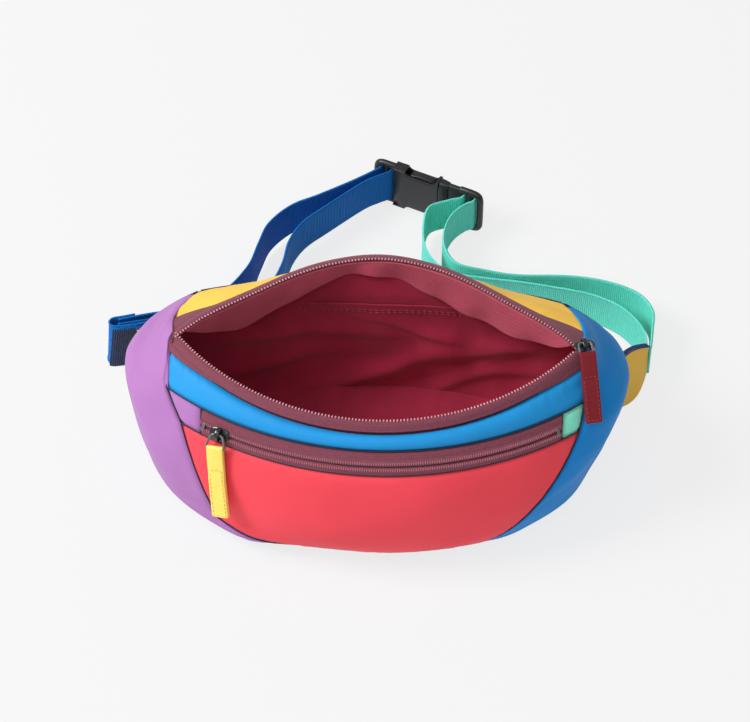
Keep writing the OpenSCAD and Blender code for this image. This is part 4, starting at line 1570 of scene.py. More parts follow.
@dataclass
class LiningBag:
    """The loose lining of the main compartment, hung from both lips, with its facing and its inner pocket."""

    form: BodyForm
    finish: Finishes
    around: int = 300
    slack: float = 5.0

    def wall(self, c: Array, s: Array, z: float) -> Array:
        """Returns one level ring of the lining at a height.

        Args:
            c: Cosine of the way round.
            s: Sine of the way round, above 0 at the back.
            z: The height.

        Returns:
            The points.
        """
        zs = [6.0, 9.0, 16.0, 30.0, 50.0, 70.0, 80.0, 88.0, 96.0]
        half = np.interp(z, zs, [96, 108, 119, 126, 126, 122, 118, 115, 112])
        depth = np.interp(z, zs, [48, 58, 68, 76, 74, 65, 58, 50, 44])
        x = half * np.sign(c) * np.abs(c) ** 0.92
        back = self.form.back(np.clip(x, -128, 128), np.full_like(x, min(z, 87.0)))[..., 1] - 9.0
        if z > 88:
            back = back - (z - 88) * 0.35
        front = self.form.zip_r - depth - np.sqrt(self.form.zip_r**2 - np.clip(np.abs(x), 0, 118) ** 2)
        y = np.where(s >= 0, back * np.abs(s) ** 0.55, mix(2.0, front, np.abs(s) ** 0.45))
        return points(x, y, np.full_like(x, z))

    def grid(self) -> Array:
        """Returns the whole bag as rings from the mouth down to the middle of its floor.

        Returns:
            The points.
        """
        th = np.linspace(0, 2 * math.pi, self.around + 1)
        c, s = np.cos(th), np.sin(th)
        x = 111.0 * c
        behind = (s >= 0)[:, None]
        top = np.where(behind, self.form.lip(x, -0.4, -1.2, Lip.BACK), self.form.lip(x, -0.4, -1.2, Lip.FRONT))
        low = np.where(behind, self.form.lip(x, 0.6, -4.5, Lip.BACK), self.form.lip(x, 1.6, -5.0, Lip.FRONT))
        rings = [top, low]
        walls = [self.wall(c, s, z) for z in (84, 78, 72, 65, 58, 51, 44, 37, 30, 24, 18, 13, 9)]
        rings.append(mix(low, walls[0], 0.5))
        rings.extend(walls)
        for k in np.linspace(0.94, 0.0, 26):
            ring = self.wall(c, s, 9.0) * np.array([k, k, 1.0])
            ring[:, 2] = 9.0 - 2.4 * (1 - k)
            rings.append(ring)
        fine = [mix(a, b, q) for a, b in zip(rings[:-1], rings[1:]) for q in (0.0, 0.25, 0.5, 0.75)]
        return np.stack([*fine, rings[-1]])

    def creases(self, x: Array, z: Array) -> Array:
        """Returns how far the slack cloth of the back wall stands in, in its long slanting folds.

        Args:
            x: Places across the pack.
            z: Heights.

        Returns:
            The distances.
        """
        folds = (
            (30.0, 33.0, 0.42, 66.0, 5.2, 11.0),
            (66.0, 27.0, 0.50, 38.0, 3.6, 8.0),
            (-58.0, 56.0, -0.05, 50.0, 2.6, 9.0),
            (-72.0, 30.0, 0.14, 44.0, 3.6, 9.0),
            (20.0, 60.0, -0.30, 34.0, 2.0, 8.0),
            (90.0, 58.0, 0.75, 26.0, 2.6, 7.0),
            (-20.0, 12.0, 0.25, 46.0, 3.4, 8.0),
        )
        move = 0 * x
        for x0, z0, slope, half, height, width in folds:
            d = (z - z0 - slope * (x - x0) - 1.6 * np.sin(0.11 * (x - x0) + z0)) / math.hypot(1.0, slope)
            side = np.where(d > 0, bell(d, 0, width), bell(d, 0, 0.32 * width))
            move = move + height * bell(x, x0, half) * side
        return move

    def folded(self, p: Array) -> Array:
        """Lays the slack cloth in folds, always inwards from the shell.

        Args:
            p: Grid of points.

        Returns:
            The moved grid.
        """
        x, y, z = p[..., 0], p[..., 1], p[..., 2]
        deep = np.clip((86 - z) / 30, 0, 1)
        roll = 0.5 + 0.3 * rumple(x, 1.4 * y + z, 60.0, 5) + 0.12 * rumple(x * 1.2, y - 0.6 * z, 26.0, 9)
        wall = np.clip((y - 10.0) / 30.0, 0, 1)
        floor = np.clip((14.0 - z) / 6.0, 0, 1) * (1 - wall)
        ridge = 4.0 * bell(y + 0.22 * x + 10, 0, 8) * bell(x, 10, 62)
        ridge = floor * (ridge + 3.0 * bell(y - 0.3 * x + 28, 0, 7) * bell(x, -30, 45))
        inward = unit(np.array([0.0, -20.0, 70.0]) - p)
        move = self.slack * np.clip(roll, 0, 1) * deep + self.creases(x, z) * wall * deep + ridge
        return p + move[..., None] * inward

    def bag(self) -> Piece:
        """Makes the lining bag.

        Returns:
            The piece.
        """
        p = self.folded(self.grid())
        obj = sheet_from_grid("lining_bag", p, -0.7, unit(np.array([0, 0, 60.0]) - p))
        nodes = ["lining_front", "lining_left", "lining_right", "lining_back"]
        finish_piece(obj, self.finish.lining, "pack", nodes)
        return cut_cloth(obj)

    def facing(self) -> Piece:
        """Makes the twill facing that hangs inside the back lip.

        Returns:
            The piece.
        """
        t, u = np.meshgrid(np.linspace(0, 1, 22), np.linspace(-1, 1, 160), indexing="ij")
        x = 106.0 * u
        top = self.form.lip(x, -0.8, -1.4, Lip.BACK)
        drop = (8.5 + 15.5 * (1 - bell(x, -14, 40))) * (1 - np.abs(u) ** 6)
        sag = (1.3 * ripple(x, 34.0, 3) + 0.7 * rumple(x, drop * t, 22.0, 3)) * t
        p = top + points(0 * u, -0.08 * drop * t - 1.6 - sag, -drop * t)
        obj = sheet_from_grid("lip_facing_cloth", p, 0.7, np.array([0, -1.0, 0.3]))
        finish_piece(obj, self.finish.twill, "pack", ["lip_facing"])
        return cut_cloth(obj)

    def pocket(self) -> Piece:
        """Makes the open inner pocket on the back wall.

        Returns:
            The piece.
        """
        t, u = np.meshgrid(np.linspace(0, 1, 90), np.linspace(-1, 1, 150), indexing="ij")
        x, z = 66.0 * u, 80.0 - 52.0 * t
        p = self.folded(points(x, self.form.back(x, z)[..., 1] - 9.0, z))
        stand = 0.9 * (1 - u**8) * (1 - t**6) + 2.2 * (1 - u**4) * np.exp(-t * 4) + 0.5
        p[..., 1] -= stand
        obj = sheet_from_grid("inner_pocket_cloth", p, 0.6, np.array([0, -1.0, 0.0]))
        finish_piece(obj, self.finish.lining, "pack", ["inner_pocket"])
        cut_cloth(obj)
        heap = Heap()
        for drop in (4.0, 5.6):
            i = int(round(drop / 52.0 * 89))
            stitch_row(heap, p[i] + np.array([0, -0.25, 0]), np.tile([0, -1.0, 0], (150, 1)), 2.4, 1.0, 0.4)
        return finish_piece(heap.build("inner_pocket_stitches"), self.finish.wine_thread, "pack")

    def hidden(self) -> None:
        """Makes the foam behind the wearer's side and the bag of the front pocket."""
        v, u = np.meshgrid(np.linspace(0.05, 0.95, 24), np.linspace(-0.965, 0.965, 60), indexing="ij")
        p = self.form.back_panel(u, v)
        behind, ahead = np.array([0, 1.0, 0]), np.array([0, -1.0, 0])
        rim = (1 - np.abs(u) ** 10) * (1 - np.abs(2 * v - 1) ** 10)
        face = p - facing_normals(p, behind) * (2.0 + 0.8 * (1 - rim[..., None]))
        obj = sheet_from_grid("back_foam_pad", face, 5.0, behind)
        finish_piece(obj, self.finish.foam, "pack", ["back_foam"])
        t, u = np.meshgrid(np.linspace(0.04, 0.8, 24), np.linspace(-0.9, 0.9, 70), indexing="ij")
        p = self.form.front_panel(u, t)
        obj = sheet_from_grid("front_pocket_bag_cloth", p - facing_normals(p, ahead) * 4.4, 0.7, ahead)
        finish_piece(obj, self.finish.lining, "pack", ["front_pocket_bag"])
        cut_cloth(obj)

    def build(self) -> None:
        """Makes the lining and all that hangs in it."""
        self.bag()
        self.facing()
        self.pocket()
        self.hidden()


# ---- sliders and pulls


@dataclass
class ZipPull:
    """A slider, its wire ring and its stitched tab, hung one from another."""

    name: str
    finish: Finishes
    place: Matrix
    ring_turn: Matrix
    tab_turn: Matrix
    pull: Finish
    thread: Finish
    pull_slot: str
    lower_plate: bool
    slider_l: float = 12.0
    slider_w: float = 8.5
    slider_t: float = 1.6
    slider_gap: float = 0.35
    bridge_h: float = 3.6
    wire: float = 1.4
    ring_l: float = 8.0
    ring_w: float = 6.6
    tab_l: float = 40.0
    tab_w: float = 10.0
    tab_t: float = 3.0
    tab_hang: float = 3.4
    ring_flare: float = 1.0

    def shell(self, z0: float, thick: float, crown: float) -> Solid:
        """Returns one plate of the slider: round at its nose and pinched towards its tail.

        Args:
            z0: Height of its lower face.
            thick: Its thickness.
            crown: How far its middle stands up.

        Returns:
            Its points and faces.
        """
        rings = []
        for t in np.linspace(-1, 1, 22):
            x = 0.5 * self.slider_l * math.sin(t * math.pi / 2)
            u = x / (0.5 * self.slider_l)
            half = 0.5 * self.slider_w * (1 - abs(u) ** 3.2) ** 0.5 * (0.9 + 0.12 * u) + 0.05
            ring = rounded_ring(half, 0.5 * thick, 3.4)
            lift = crown * (1 - (ring[:, 0] / max(half, 0.1)) ** 2) * (1 - u * u) * (ring[:, 2] > 0)
            rings.append(points(x, ring[:, 0], z0 + thick / 2 + ring[:, 2] * (1 - 0.45 * abs(u) ** 4) + lift))
        return lofted(rings)

    def slider(self) -> Piece:
        """Makes the slider's plates, its neck and the bridge that the ring hangs in.

        Returns:
            The piece.
        """
        heap = Heap(self.place)
        top = self.slider_gap + self.slider_t
        heap.add(*self.shell(self.slider_gap, self.slider_t, 0.2))
        if self.lower_plate:
            thick = 1.3
            low = 0.8 + 1.4 + self.slider_gap + thick
            heap.add(*self.shell(-low, thick, 0.0))
            neck, faces = lofted([rounded_ring(0.35, 1.2)] * 2)
            neck[:, 1] = np.repeat([-low + 0.6, top - 0.4], len(neck) // 2)
            heap.add(neck[:, [2, 0, 1]] + [-self.slider_l / 2 + 2.3, 0, 0], faces)
        t = np.linspace(0, math.pi, 25)
        path = points(0, 3.5 * np.cos(t), top - 0.5 + (self.bridge_h + 0.2) * np.abs(np.sin(t)) ** 0.7)
        ring, wide = rounded_ring(1.35, 0.5, 3.0, 20), np.array([1.0, 0, 0])
        up = np.cross(wide, unit(np.gradient(path, axis=0)))
        heap.add(*lofted([p + ring[:, :1] * wide + ring[:, 2:] * n for p, n in zip(path, up)]))
        obj = heap.build(f"{self.name}_slider_shell")
        body = "front_slider" if self.lower_plate else "pack"
        return finish_piece(obj, self.finish.black, body, [f"{self.name}_slider"])

    def ring_place(self) -> Matrix:
        """Returns the ring's frame: its first bar lies along X."""
        lift = self.slider_gap + self.slider_t + self.bridge_h / 2
        return self.place @ Matrix.Translation((0, 0, lift)) @ self.ring_turn

    def ring(self) -> Piece:
        """Makes the wire ring with its soft corners.

        Returns:
            The piece.
        """
        w = 0.5 * (self.ring_w + self.wire)
        a = np.linspace(0, 2 * math.pi, 72, endpoint=False)
        c, s = np.cos(a), np.sin(a)
        y = np.sign(s) * np.abs(s) ** 0.4 * self.ring_l / 2 - self.ring_l / 2
        half = mix(0.86 * w, 0.5 * self.tab_w + self.ring_flare, np.clip(-y / self.ring_l, 0, 1))
        verts, faces = tube(points(np.sign(c) * np.abs(c) ** 0.4 * half, y, 0), self.wire / 2, 14, True)
        obj = make_mesh(f"{self.name}_ring_wire", placed(verts, self.ring_place()), faces)
        return finish_piece(obj, self.finish.wire, f"{self.name}_ring", [f"{self.name}_pull_ring"])

    def tab_centre(self, y: Array) -> Array:
        """Returns how far the tab's middle bows off its plane."""
        t = np.clip(-y / self.tab_l, 0, 1)
        return 0.45 * np.sin(math.pi * t * 1.1) - 0.2 * bell(y, -13, 3)

    def tab(self) -> Piece:
        """Makes the folded tab and its stitched border.

        Returns:
            The piece.
        """
        place = self.ring_place() @ Matrix.Translation((0, -self.ring_l, 0)) @ self.tab_turn
        rings = []
        loop = np.linspace(0.5 * self.tab_t + 0.3, -self.tab_hang, 10)
        body = -self.tab_hang - self.tab_l * crowded(46, 0.6)
        for y in np.concatenate([loop, body[1:]]):
            end = np.clip((y + self.tab_hang + self.tab_l) / 1.2, 0, 1)
            w = 0.5 * self.tab_w * (0.88 + 0.12 * math.sqrt(end))
            half = 0.5 * self.tab_t * (0.6 + 0.4 * math.sqrt(min(1.0, end * 2)))
            if y > 0:
                half = 0.5 * self.tab_t * math.sqrt(max(0.05, 1 - (y / (0.5 * self.tab_t + 0.31)) ** 2))
            half = half * (1 - 0.12 * bell(y, -13.5, 1.6))
            ring = rounded_ring(float(w), float(half), 7.0, 40)
            rings.append(ring + np.array([0, y, float(self.tab_centre(y))]))
        verts, faces = lofted(rings)
        obj = make_mesh(f"{self.name}_tab_hide", placed(verts, place), faces)
        finish_piece(obj, self.pull, f"{self.name}_tab", [f"{self.name}_pull_tab"])
        heap = Heap()
        x, y0, y1 = self.tab_w / 2 - 1.3, -12.0, -self.tab_l - self.tab_hang + 1.6
        corners = np.array([[-x, y0], [x, y0], [x, y1], [-x, y1], [-x, y0]])
        path = np.concatenate([np.linspace(a, b, 60) for a, b in zip(corners[:-1], corners[1:])])
        for sign in (1, -1):
            z = sign * (0.5 * self.tab_t + 0.04) + self.tab_centre(path[:, 1])
            row = placed(points(path[:, 0], path[:, 1], z), place)
            out = placed(np.tile([0, 0, float(sign)], (len(path), 1)), place.to_3x3().to_4x4())
            stitch_row(heap, row, out, 1.7, 0.7, 0.45)
        stitches = heap.build(f"{self.name}_tab_stitches")
        return finish_piece(stitches, self.thread, f"{self.name}_tab")

    def build(self) -> None:
        """Makes the slider, the ring and the tab."""
        self.slider()
        self.ring()
        self.tab()


def front_pull(form: BodyForm, finish: Finishes) -> ZipPull:
    """Returns the pull of the front zip, parked at its left end.

    Args:
        form: The sewn form.
        finish: The finishes.

    Returns:
        The pull.
    """
    home = math.degrees(math.asin(form.zip_left / form.zip_r)) + 3.36
    line, lean = form.zip_line, math.radians(form.zip_lean)
    place = (
        Matrix.Translation((0, form.zip_c, form.zip_z))
        @ turned("Z", home)
        @ Matrix.Translation((0, -(form.zip_r - line * math.sin(lean)), line * math.cos(lean)))
        @ turned("X", 90 - form.zip_lean)
    )
    ring = turned("Z", 8) @ turned("X", 2)
    tab = turned("X", 10) @ turned("Z", 8)
    pull, thread = finish.yellow_pull, finish.yellow_thread
    return ZipPull("front", finish, place, ring, tab, pull, thread, "yellow_pull", True, tab_l=37.5)


def main_pull(form: BodyForm, finish: Finishes) -> ZipPull:
    """Returns the pull of the main zip, parked at the right end of the mouth.

    Args:
        form: The sewn form.
        finish: The finishes.

    Returns:
        The pull.
    """
    place = Matrix.Translation((form.lip_half + 1.5, 0, form.lip_z + 0.9)) @ turned("Z", 12)
    ring, tab = turned("X", 9), turned("X", 39)
    pull, thread = finish.crimson_pull, finish.crimson_thread
    sizes = {"tab_l": 34.5, "tab_w": 9.2, "ring_flare": -0.7}
    return ZipPull("main", finish, place, ring, tab, pull, thread, "crimson_pull", False, **sizes)


# ---- belt


@dataclass
class Belt:
    """The two wings and the webbing that runs from them through the buckle."""

    form: BodyForm
    finish: Finishes
    low_z: float = 0.3
    buckle: Vector = Vector((-6.0, 208.0, 16.8))
    buckle_turn: float = -23.8
    tip_x: float = 157.0
    tip_y: float = 68.0
    patch_lean: tuple[float, float] = (2.9, 9.5)

    def by_buckle(self, x: float, y: float) -> tuple[float, float]:
        """Returns a point in plan given along and across the buckle."""
        c, s = math.cos(math.radians(self.buckle_turn)), math.sin(math.radians(self.buckle_turn))
        return (self.buckle.x + x * c - y * s, self.buckle.y + x * s + y * c)

    def left_route(self) -> Route:
        """Returns the left webbing's way in plan, out to the buckle and back to the wing.

        Returns:
            The points of the way.
        """
        b = self.by_buckle
        out = [(-157.5, 75.6), (-140, 80.8), (-117, 87), (-97, 101), (-84, 122), (-79, 140), (-74, 156), (-62, 170)]
        into = [(-45, 180), b(-11, -21), b(-2.9, -7), b(-0.4, -1.5), b(0.3, 2.7), b(3.3, 3.75), b(6.6, 2.55)]
        off = [b(7.1, 0), b(6.3, -3.55), b(1.8, -9.5), b(-4.5, -20), (-40, 170), (-53, 156.5), (-60, 142)]
        home = [(-63, 124), (-70, 107), (-86, 92), (-110, 82.5), (-138, 76.6), (-157.5, 71.6)]
        return out + into + off + home

    def right_route(self) -> Route:
        """Returns the right webbing's way in plan.

        Returns:
            The points of the way.
        """
        b = self.by_buckle
        out = [(158.2, 68.4), (159.5, 82), (160, 97), (152, 110), (135, 118.5), (112, 122.5), (81, 122), (60, 124.5)]
        into = [(42, 129), (34.5, 142), (34.5, 156), (39, 168), b(60.6, -8), b(63.9, -3), b(63.4, 2.6), b(60.6, 3.95)]
        off = [b(57.2, 2.55), b(56.7, 0), b(56.2, -3.75), b(50, -9.5), (24.5, 173), (21.5, 158), (23, 140), (31, 127)]
        home = [(44, 120.5), (60, 118.5), (77, 117), (100, 113.5), (123, 108.5), (140, 100), (151, 88), (155.2, 78)]
        return out + into + off + home + [(155.9, 70.36)]

    def smooth(self, route: Route, count: int) -> Array:
        """Returns a route as evenly as its corners allow, through all its points.

        Args:
            route: The points to pass.
            count: Steps between two of them.

        Returns:
            The points.
        """
        p = np.array(route, float)
        out = []
        for i in range(len(p) - 1):
            a, b, c, d = p[max(i - 1, 0)], p[i], p[i + 1], p[min(i + 2, len(p) - 1)]
            square, cube = 2 * a - 5 * b + 4 * c - d, 3 * b - a - 3 * c + d
            for t in np.linspace(0, 1, count, endpoint=False):
                out.append(0.5 * (2 * b + (c - a) * t + square * t * t + cube * t**3))
        out.append(p[-1])
        return np.array(out)

    def webbing(
        self,
        name: str,
        route: Route,
        seed: int,
        thick: float = WEB_THICK,
        width: float = WEB_WIDTH,
        lean: float = 0.0,
    ) -> Piece:
        """Makes one strip of webbing standing on its edge along a route.

        Args:
            name: The piece's name.
            route: The strip's way in plan.
            seed: Picks the strip's own waves.
            thick: Its thickness.
            width: Its width, which is its height as it stands.
            lean: How far its lower edge leans forward past the first turn.

        Returns:
            The strip.
        """
        way = self.smooth(route, 9)
        d = unit(np.gradient(way, axis=0))
        side = np.stack([-d[:, 1], d[:, 0]], axis=1)
        near = np.linalg.norm(way - np.array([self.buckle.x, self.buckle.y]), axis=1)
        lift = 4.0 * np.clip((115 - near) / 55, 0, 1)
        s = path_lengths(way)
        h = np.array([0.0, 0.02, 0.06, 0.14, 0.3, 0.5, 0.7, 0.86, 0.94, 0.98, 1.0])
        round_in = np.array([0.45, 0.15, 0.0, 0.0, 0, 0, 0, 0.0, 0.0, 0.15, 0.45])
        ss, hh = np.meshgrid(s, h, indexing="ij")
        cup = 0.25 * np.sin(math.pi * hh) * ripple(ss, 60.0, seed)
        over = lean * (1 - hh) * np.clip((ss / s[-1] - 0.2) / 0.3, 0, 1)
        off = thick / 2 - round_in[None] + cup
        x = way[:, None, 0] + side[:, None, 0] * off - 0.3 * over
        y = way[:, None, 1] + side[:, None, 1] * off - over
        z = self.low_z + lift[:, None] + width * hh
        out = np.concatenate([side, np.zeros((len(side), 1))], axis=1)[:, None, :]
        return sheet_from_grid(name, points(x, y, z), thick, out)

    def left(self) -> None:
        """Makes the left webbing, the folded end piece that holds it to its wing, and a dark navy sheet of painted
        shade on the fold's face.
        """
        obj = self.webbing("strap_left_web", self.left_route(), 3)
        finish_piece(obj, self.finish.blue_web, "pack", ["strap_left"])
        route = [(-148, 80.0), (-156, 77.6), (-160.6, 76.4), (-162.4, 73.9)]
        route += [(-161.4, 71.1), (-157.6, 70.2), (-150, 71.6), (-137, 74.9)]
        fold = self.webbing("strap_left_fold", route, 5, 1.1, WEB_WIDTH, self.patch_lean[1])
        finish_piece(fold, self.finish.blue_web, "pack")
        # Painted shade: a thin dark navy sheet over the fold's face stands for the blue webbing in shade.
        route = [(-160.0, 69.6), (-157.6, 69.1), (-154, 69.6), (-150, 70.5), (-137, 73.8)]
        face = self.webbing("strap_left_painted_shade", route, 6, 0.7, 22.6)
        for vertex in face.data.vertices:
            depth = max(0.0, 1 - (vertex.co.z / MM - self.low_z) / WEB_WIDTH)
            vertex.co.x -= self.patch_lean[0] * MM * depth
            vertex.co.y -= self.patch_lean[1] * MM * depth
        finish_piece(face, self.finish.shaded_blue_web, "pack")

    def right(self) -> None:
        """Makes the right webbing, which follows the buckle's plug."""
        obj = self.webbing("strap_right_web", self.right_route(), 4)
        finish_piece(obj, self.finish.mint_web, "pack", ["strap_right"])
        obj.parent = None
        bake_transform(obj)

    def wing(self, side: Side) -> Piece:
        """Makes the folded cloth wing that narrows from the side panel to the webbing.

        Args:
            side: Which side.

        Returns:
            The piece.
        """
        q, t = np.meshgrid(crowded(26), crowded(30, 0.4), indexing="ij")
        h = mix(37.0, 4.0, q)
        s = self.form.side_share * (88.0 - np.maximum(h, 22.0)) / 66.0
        root = self.form.seam_back(s) + 0.1
        root[..., 2] = h
        tip = points(np.full_like(q, self.tip_x), np.full_like(q, self.tip_y), mix(25.3, 0.3, q))
        p = mix(root, tip, t[..., None])
        if side is Side.LEFT:
            bend = np.array([-12.0, 21.0, 0.0])
            p = p + bend * (2 * t * (1 - t))[..., None] + points(0, 3.0 * t, -9.0 * t * (1 - q))
        else:
            bend = points(mix(-1.0, 3.0, q), mix(4.0, -7.0, q), 0 * q)
            p = p + bend * np.sin(math.pi * t)[..., None]
        p[..., 2] += 2.0 * np.sin(math.pi * t) * (0.5 - q)
        p[..., 0] *= side.value
        puff = 1.2 * (np.sin(math.pi * q) ** 0.5) * (1 - t**4) + 0.5 * rumple(p[..., 0], p[..., 2], 18.0, 8)
        out = unit(np.array([-side.value * 0.7, 0.7, 0.0]))
        pad = puff * np.sin(math.pi * np.clip(q, 0.02, 0.98)) ** 0.3 * np.clip(6 * t, 0, 1)
        obj = sheet_from_grid(f"wing_{side.word}_cloth", p + out * (2.4 + 0.5 * pad[..., None]), 2.6, out)
        finish_piece(obj, self.finish.amber, "pack", [f"wing_{side.word}"])
        self.binding(p[0, 1:] + out * 1.2, side)
        return obj

    def binding(self, path: Array, side: Side) -> Piece:
        """Makes the bound upper edge of a wing.

        Args:
            path: Points along it.
            side: Which side.

        Returns:
            The piece.
        """
        ring = rounded_ring(1.75, 0.9, 3.0, 18)
        section = points(-side.value * 0.7 * ring[:, 0], 0.7 * ring[:, 0], ring[:, 2] - 0.2)
        obj = make_mesh(f"wing_{side.word}_binding", *lofted([at + section for at in path]))
        return finish_piece(obj, self.finish.bind, "pack")

    def build(self) -> None:
        """Makes both sides of the belt."""
        self.left()
        self.right()
        for side in Side:
            self.wing(side)


# ---- buckle


@dataclass
class SideBuckle:
    """The side release buckle: a socket, a plug and two springing prongs."""

    finish: Finishes
    place: Matrix
    h: float = 33.0
    t: float = 9.0
    bar: float = 5.2
    female_l: float = 40.0
    male_l: float = 24.0
    wall: float = 1.8
    slot: float = 4.6
    gap: float = 0.4

    def slab(self, heap: Heap, ends: tuple[float, float], half_h: Reach, half_t: Reach, z0: float = 0.0) -> None:
        """Adds a crowned slab along the buckle between two stations.

        Args:
            heap: Where the solids go.
            ends: Where it starts and ends.
            half_h: Half its height at a share of its length.
            half_t: Half its thickness there.
            z0: Height of its middle.
        """
        rings = []
        for t in crowded(16, 0.75):
            ring = rounded_ring(half_h(t), half_t(t), 3.6, 36)
            rings.append(points(mix(*ends, t), ring[:, 2], z0 + ring[:, 0]))
        heap.add(*lofted(rings))

    def post(self, heap: Heap, a: tuple[float, float, float], b: tuple[float, float, float], r: float) -> None:
        """Adds a round bar between two points of the buckle's frame."""
        heap.add(*tube(np.linspace(np.array(a, float), np.array(b, float), 9), r, 16))

    def frame_of_bar(self, heap: Heap, x_bar: float, x_body: float) -> None:
        """Adds the loop that the webbing passes through, from its bar to the buckle's body.

        Args:
            heap: Where the solids go.
            x_bar: Where the bar is.
            x_body: Where the buckle's body starts.
        """
        r = self.bar / 2
        z = self.h / 2 - r * 0.8
        for k in (-1, 1):
            self.post(heap, (x_bar, 0, k * z), (x_body, 0, k * z), r * 0.8)
        self.post(heap, (x_bar, 0, -z), (x_bar, 0, z), r * 0.8)

    def end_frame(self, heap: Heap, x_end: float, x_body: float) -> None:
        """Adds the outer loop that keeps the webbing's turn inside it.

        Args:
            heap: Where the solids go.
            x_end: Where the loop's end is.
            x_body: Where the buckle's body starts.
        """
        z, r = self.h / 2 - 1.7, 2.1
        a = np.linspace(0, math.pi, 60)
        x = mix(x_body, x_end, np.sin(a) ** 0.28)
        path = points(x, 0 * x, z * np.sign(np.cos(a)) * np.abs(np.cos(a)) ** 0.28)
        heap.add(*tube(path, r, 18))

    def female(self) -> Piece:
        """Makes the socket with its open sides.

        Returns:
            The piece.
        """
        heap = Heap(self.place)
        body = 4.0 + self.slot + 0.4
        self.frame_of_bar(heap, 3.6, body + 2)
        self.end_frame(heap, -3.5, body + 1)
        x1, w0, w1 = self.female_l, 17.6, self.female_l - 2.2
        for k in (-1, 1):
            rings = []
            for x in mix(body, x1, crowded(30, 0.7)):
                end = min(1.0, (x - body) / 7.0)
                half = 0.5 * self.h * (0.93 + 0.07 * math.sqrt(max(0.0, 1 - (1 - end) ** 2)))
                inset = 3.0 * float(np.clip((x - w0 + 1.5) / 3, 0, 1) * np.clip((w1 + 1.5 - x) / 3, 0, 1))
                crown = mix(0.5 * self.bar, 0.5 * self.t, math.sin(end * math.pi / 2))
                ring = rounded_ring(half - inset, 0.5 * self.wall, 5.0, 40)
                arch = 0.5 * (1 - (ring[:, 0] / half) ** 2)
                rings.append(points(x, k * (crown - self.wall / 2 - 0.5 + arch) + ring[:, 2], ring[:, 0]))
            heap.add(*lofted(rings))
        for ends in ((body, w0 - 0.5), (w1 + 0.5, x1)):
            for k in (-1, 1):
                self.slab(heap, ends, lambda t: 0.9, lambda t: self.t / 2 - 0.6, k * (self.h / 2 - 1.0))
        self.slab(heap, (body, body + 2.4), lambda t: self.h / 2 - 1.0, lambda t: self.bar / 2)
        obj = bevelled(heap.build("buckle_socket"), 0.25)
        return finish_piece(obj, self.finish.buckle, "pack", ["buckle_female"])

    def male(self) -> Piece:
        """Makes the plug's shoulder, its guide and its webbing loop.

        Returns:
            The piece.
        """
        heap = Heap(self.place)
        x0 = self.female_l + self.gap
        full = self.female_l + self.male_l
        height, depth = self.h / 2, self.bar / 2
        shoulder = (x0, x0 + 6)
        self.slab(heap, shoulder, lambda t: height * (1 - 0.03 * t**2), lambda t: mix(self.t / 2, depth + 0.7, t**2))
        self.slab(heap, (x0 + 5.4, full - 8.4), lambda t: height - 0.6, lambda t: depth)
        self.frame_of_bar(heap, full - 3.6, full - 9.0)
        self.end_frame(heap, full + 3.5, full - 10.0)
        self.slab(heap, (13.0, x0 + 1), lambda t: 2.3, lambda t: 2.1)
        obj = bevelled(heap.build("buckle_plug"), 0.25)
        return finish_piece(obj, self.finish.buckle, "buckle_male", ["buckle_male"])

    def prong(self, k: int) -> Piece:
        """Makes one springing prong with its thumb pad in the socket's side.

        Args:
            k: 1 for the top prong and -1 for the bottom one.

        Returns:
            The piece.
        """
        pad = [[44.1, 9.6], [41.0, 10.2], [36.8, 13.4], [35.0, 14.6], [30.0, 15.2], [25.0, 15.0], [20.5, 13.8]]
        arm = [[18.8, 12.0], [19.2, 9.6], [22.0, 9.6], [28.0, 10.6], [36.0, 9.4], [40.0, 8.4], [44.1, 8.2]]
        ends = zip(np.array(pad + arm), np.roll(pad + arm, -1, axis=0))
        p = np.concatenate([np.linspace(a, b, 5, endpoint=False) for a, b in ends])
        centre = p.mean(axis=0)
        rings = []
        for y, shrink in ((-2.3, 0.5), (-1.9, 0.1), (1.9, 0.1), (2.3, 0.5)):
            q = p - unit(p - centre) * shrink
            rings.append(points(q[:, 0], y, k * q[:, 1]))
        verts, faces = lofted(rings)
        name = "top" if k > 0 else "bottom"
        obj = bevelled(make_mesh(f"buckle_prong_{name}", placed(verts, self.place), faces), 0.2)
        return finish_piece(obj, self.finish.buckle, f"prong_{name}", [f"prong_{name}"])

    def build(self) -> None:
        """Makes every part of the buckle."""
        self.female()
        self.male()
        self.prong(1)
        self.prong(-1)


# ---- studio


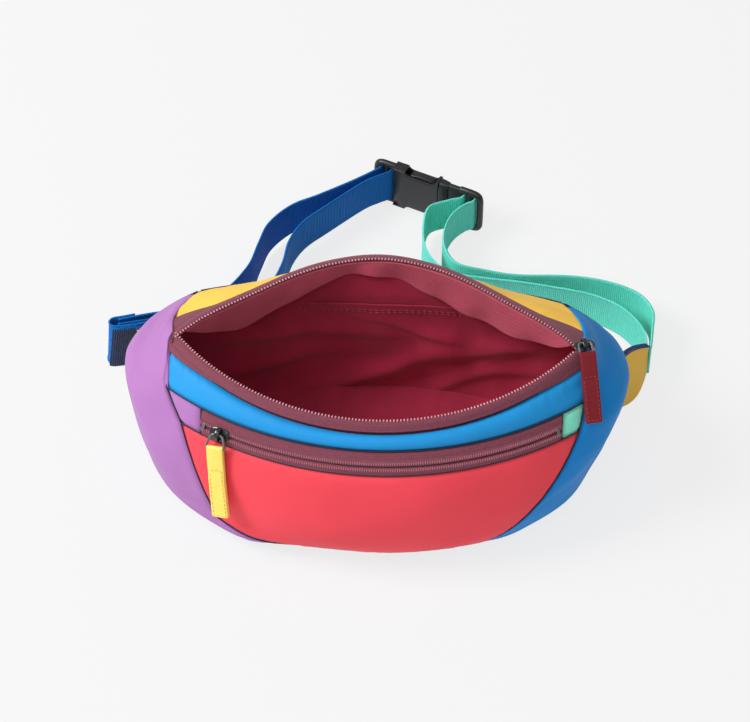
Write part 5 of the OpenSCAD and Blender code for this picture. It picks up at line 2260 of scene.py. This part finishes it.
@dataclass
class Studio:
    """A pale floor, soft light from the upper left, and the camera."""

    elevation: float = 49.0
    azimuth: float = 2.6
    distance: float = 1350.0
    lens: float = 117.9
    aim: tuple[float, float] = (0.466, 0.05)
    floor_glow: float = 0.86

    def camera(self) -> None:
        """Makes the camera and makes it the scene's own."""
        e, a = math.radians(self.elevation), math.radians(self.azimuth)
        target = Vector((0, 0, 0.1))
        way = Vector((math.sin(a) * math.cos(e), -math.cos(a) * math.cos(e), math.sin(e)))
        data = bpy.data.cameras.new("camera")
        data.lens = self.lens
        data.sensor_width = 36.0
        cam = bpy.data.objects.new("camera", data)
        bpy.context.scene.collection.objects.link(cam)
        look = (-way).to_track_quat("-Z", "Y").to_matrix().to_4x4()
        place = Matrix.Translation(target + way * self.distance * MM) @ look
        cam.matrix_world = place @ turned("X", -self.aim[0]) @ turned("Y", self.aim[1])
        bpy.context.scene.camera = cam

    def floor(self) -> None:
        """Makes the pale floor, which shows a white ground to the camera and keeps the shadow."""
        kit = Nodes("pale floor")
        kit.shades(kit.noise(3.0), (0.86, 0.86, 0.865), (0.88, 0.88, 0.885))
        kit.surface(roughness=0.9, specular_ior_level=0.1)
        glow = kit.add("ShaderNodeEmission")
        glow.inputs["Color"].default_value = (0.905, 0.905, 0.91, 1.0)
        rays = kit.add("ShaderNodeLightPath").outputs
        unlit = kit.maths("ADD", rays["Is Glossy Ray"], rays["Is Transmission Ray"])
        seen = kit.maths("ADD", rays["Is Camera Ray"], unlit)
        blend = kit.add("ShaderNodeMixShader")
        kit.link(kit.maths("MULTIPLY", kit.maths("MINIMUM", seen, 1.0), self.floor_glow), blend.inputs[0])
        kit.link(kit.shader.outputs[0], blend.inputs[1])
        kit.link(glow.outputs[0], blend.inputs[2])
        kit.link(blend.outputs[0], kit.tree.nodes["Material Output"].inputs["Surface"])
        verts = np.array([[-6, -6, 0], [6, -6, 0], [6, 6, 0], [-6, 6, 0]]) * 1000.0
        obj = make_mesh("studio_floor", verts, [[0, 1, 2, 3]])
        obj.data.materials.append(kit.material)

    def lamp(self, name: str, place: tuple[float, float, float], size: float, watts: float) -> None:
        """Makes one square soft lamp that looks at the pack.

        Args:
            name: The lamp's name.
            place: Where it is, in metres.
            size: Its square's side, in metres.
            watts: Its power.
        """
        data = bpy.data.lights.new(name, "AREA")
        data.size = size
        data.energy = watts
        obj = bpy.data.objects.new(name, data)
        bpy.context.scene.collection.objects.link(obj)
        obj.location = place
        obj.rotation_euler = (Vector((0, 0.03, 0.05)) - Vector(place)).to_track_quat("-Z", "Y").to_euler()

    def world(self, level: float) -> None:
        """Makes an even pale sky.

        Args:
            level: How bright it is.
        """
        world = bpy.data.worlds.new("pale sky")
        bpy.context.scene.world = world
        world.use_nodes = True
        sky = world.node_tree.nodes["Background"].inputs
        sky["Color"].default_value = (1, 1, 1, 1)
        sky["Strength"].default_value = level

    def build(self) -> None:
        """Makes the floor, the lamps and the sky."""
        self.floor()
        self.lamp("key", (-1.5, -0.1, 1.5), 0.9, 42.0)
        self.lamp("fill", (-0.3, -1.3, 1.9), 1.6, 10.0)
        self.world(0.42)
        bpy.context.scene.view_settings.view_transform = "Standard"


def main() -> None:
    """Builds the camera, every piece of the pack and the studio."""
    logging.basicConfig(level=logging.INFO, format="%(message)s")
    studio = Studio()
    studio.camera()
    finish = Finishes()
    form = BodyForm()
    belt = Belt(form, finish)
    place = Matrix.Translation(belt.buckle) @ turned("Z", belt.buckle_turn)
    parts = (
        ShellPanels(form, finish),
        MainZip(form, finish),
        FrontZip(form, finish),
        LiningBag(form, finish),
        front_pull(form, finish),
        main_pull(form, finish),
        belt,
        SideBuckle(finish, place),
    )
    for part in parts:
        LOG.info("building %s", type(part).__name__)
        part.build()
    LOG.info("%d solids are dressed", len(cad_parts))
    studio.build()


if __name__ == "__main__":
    main()
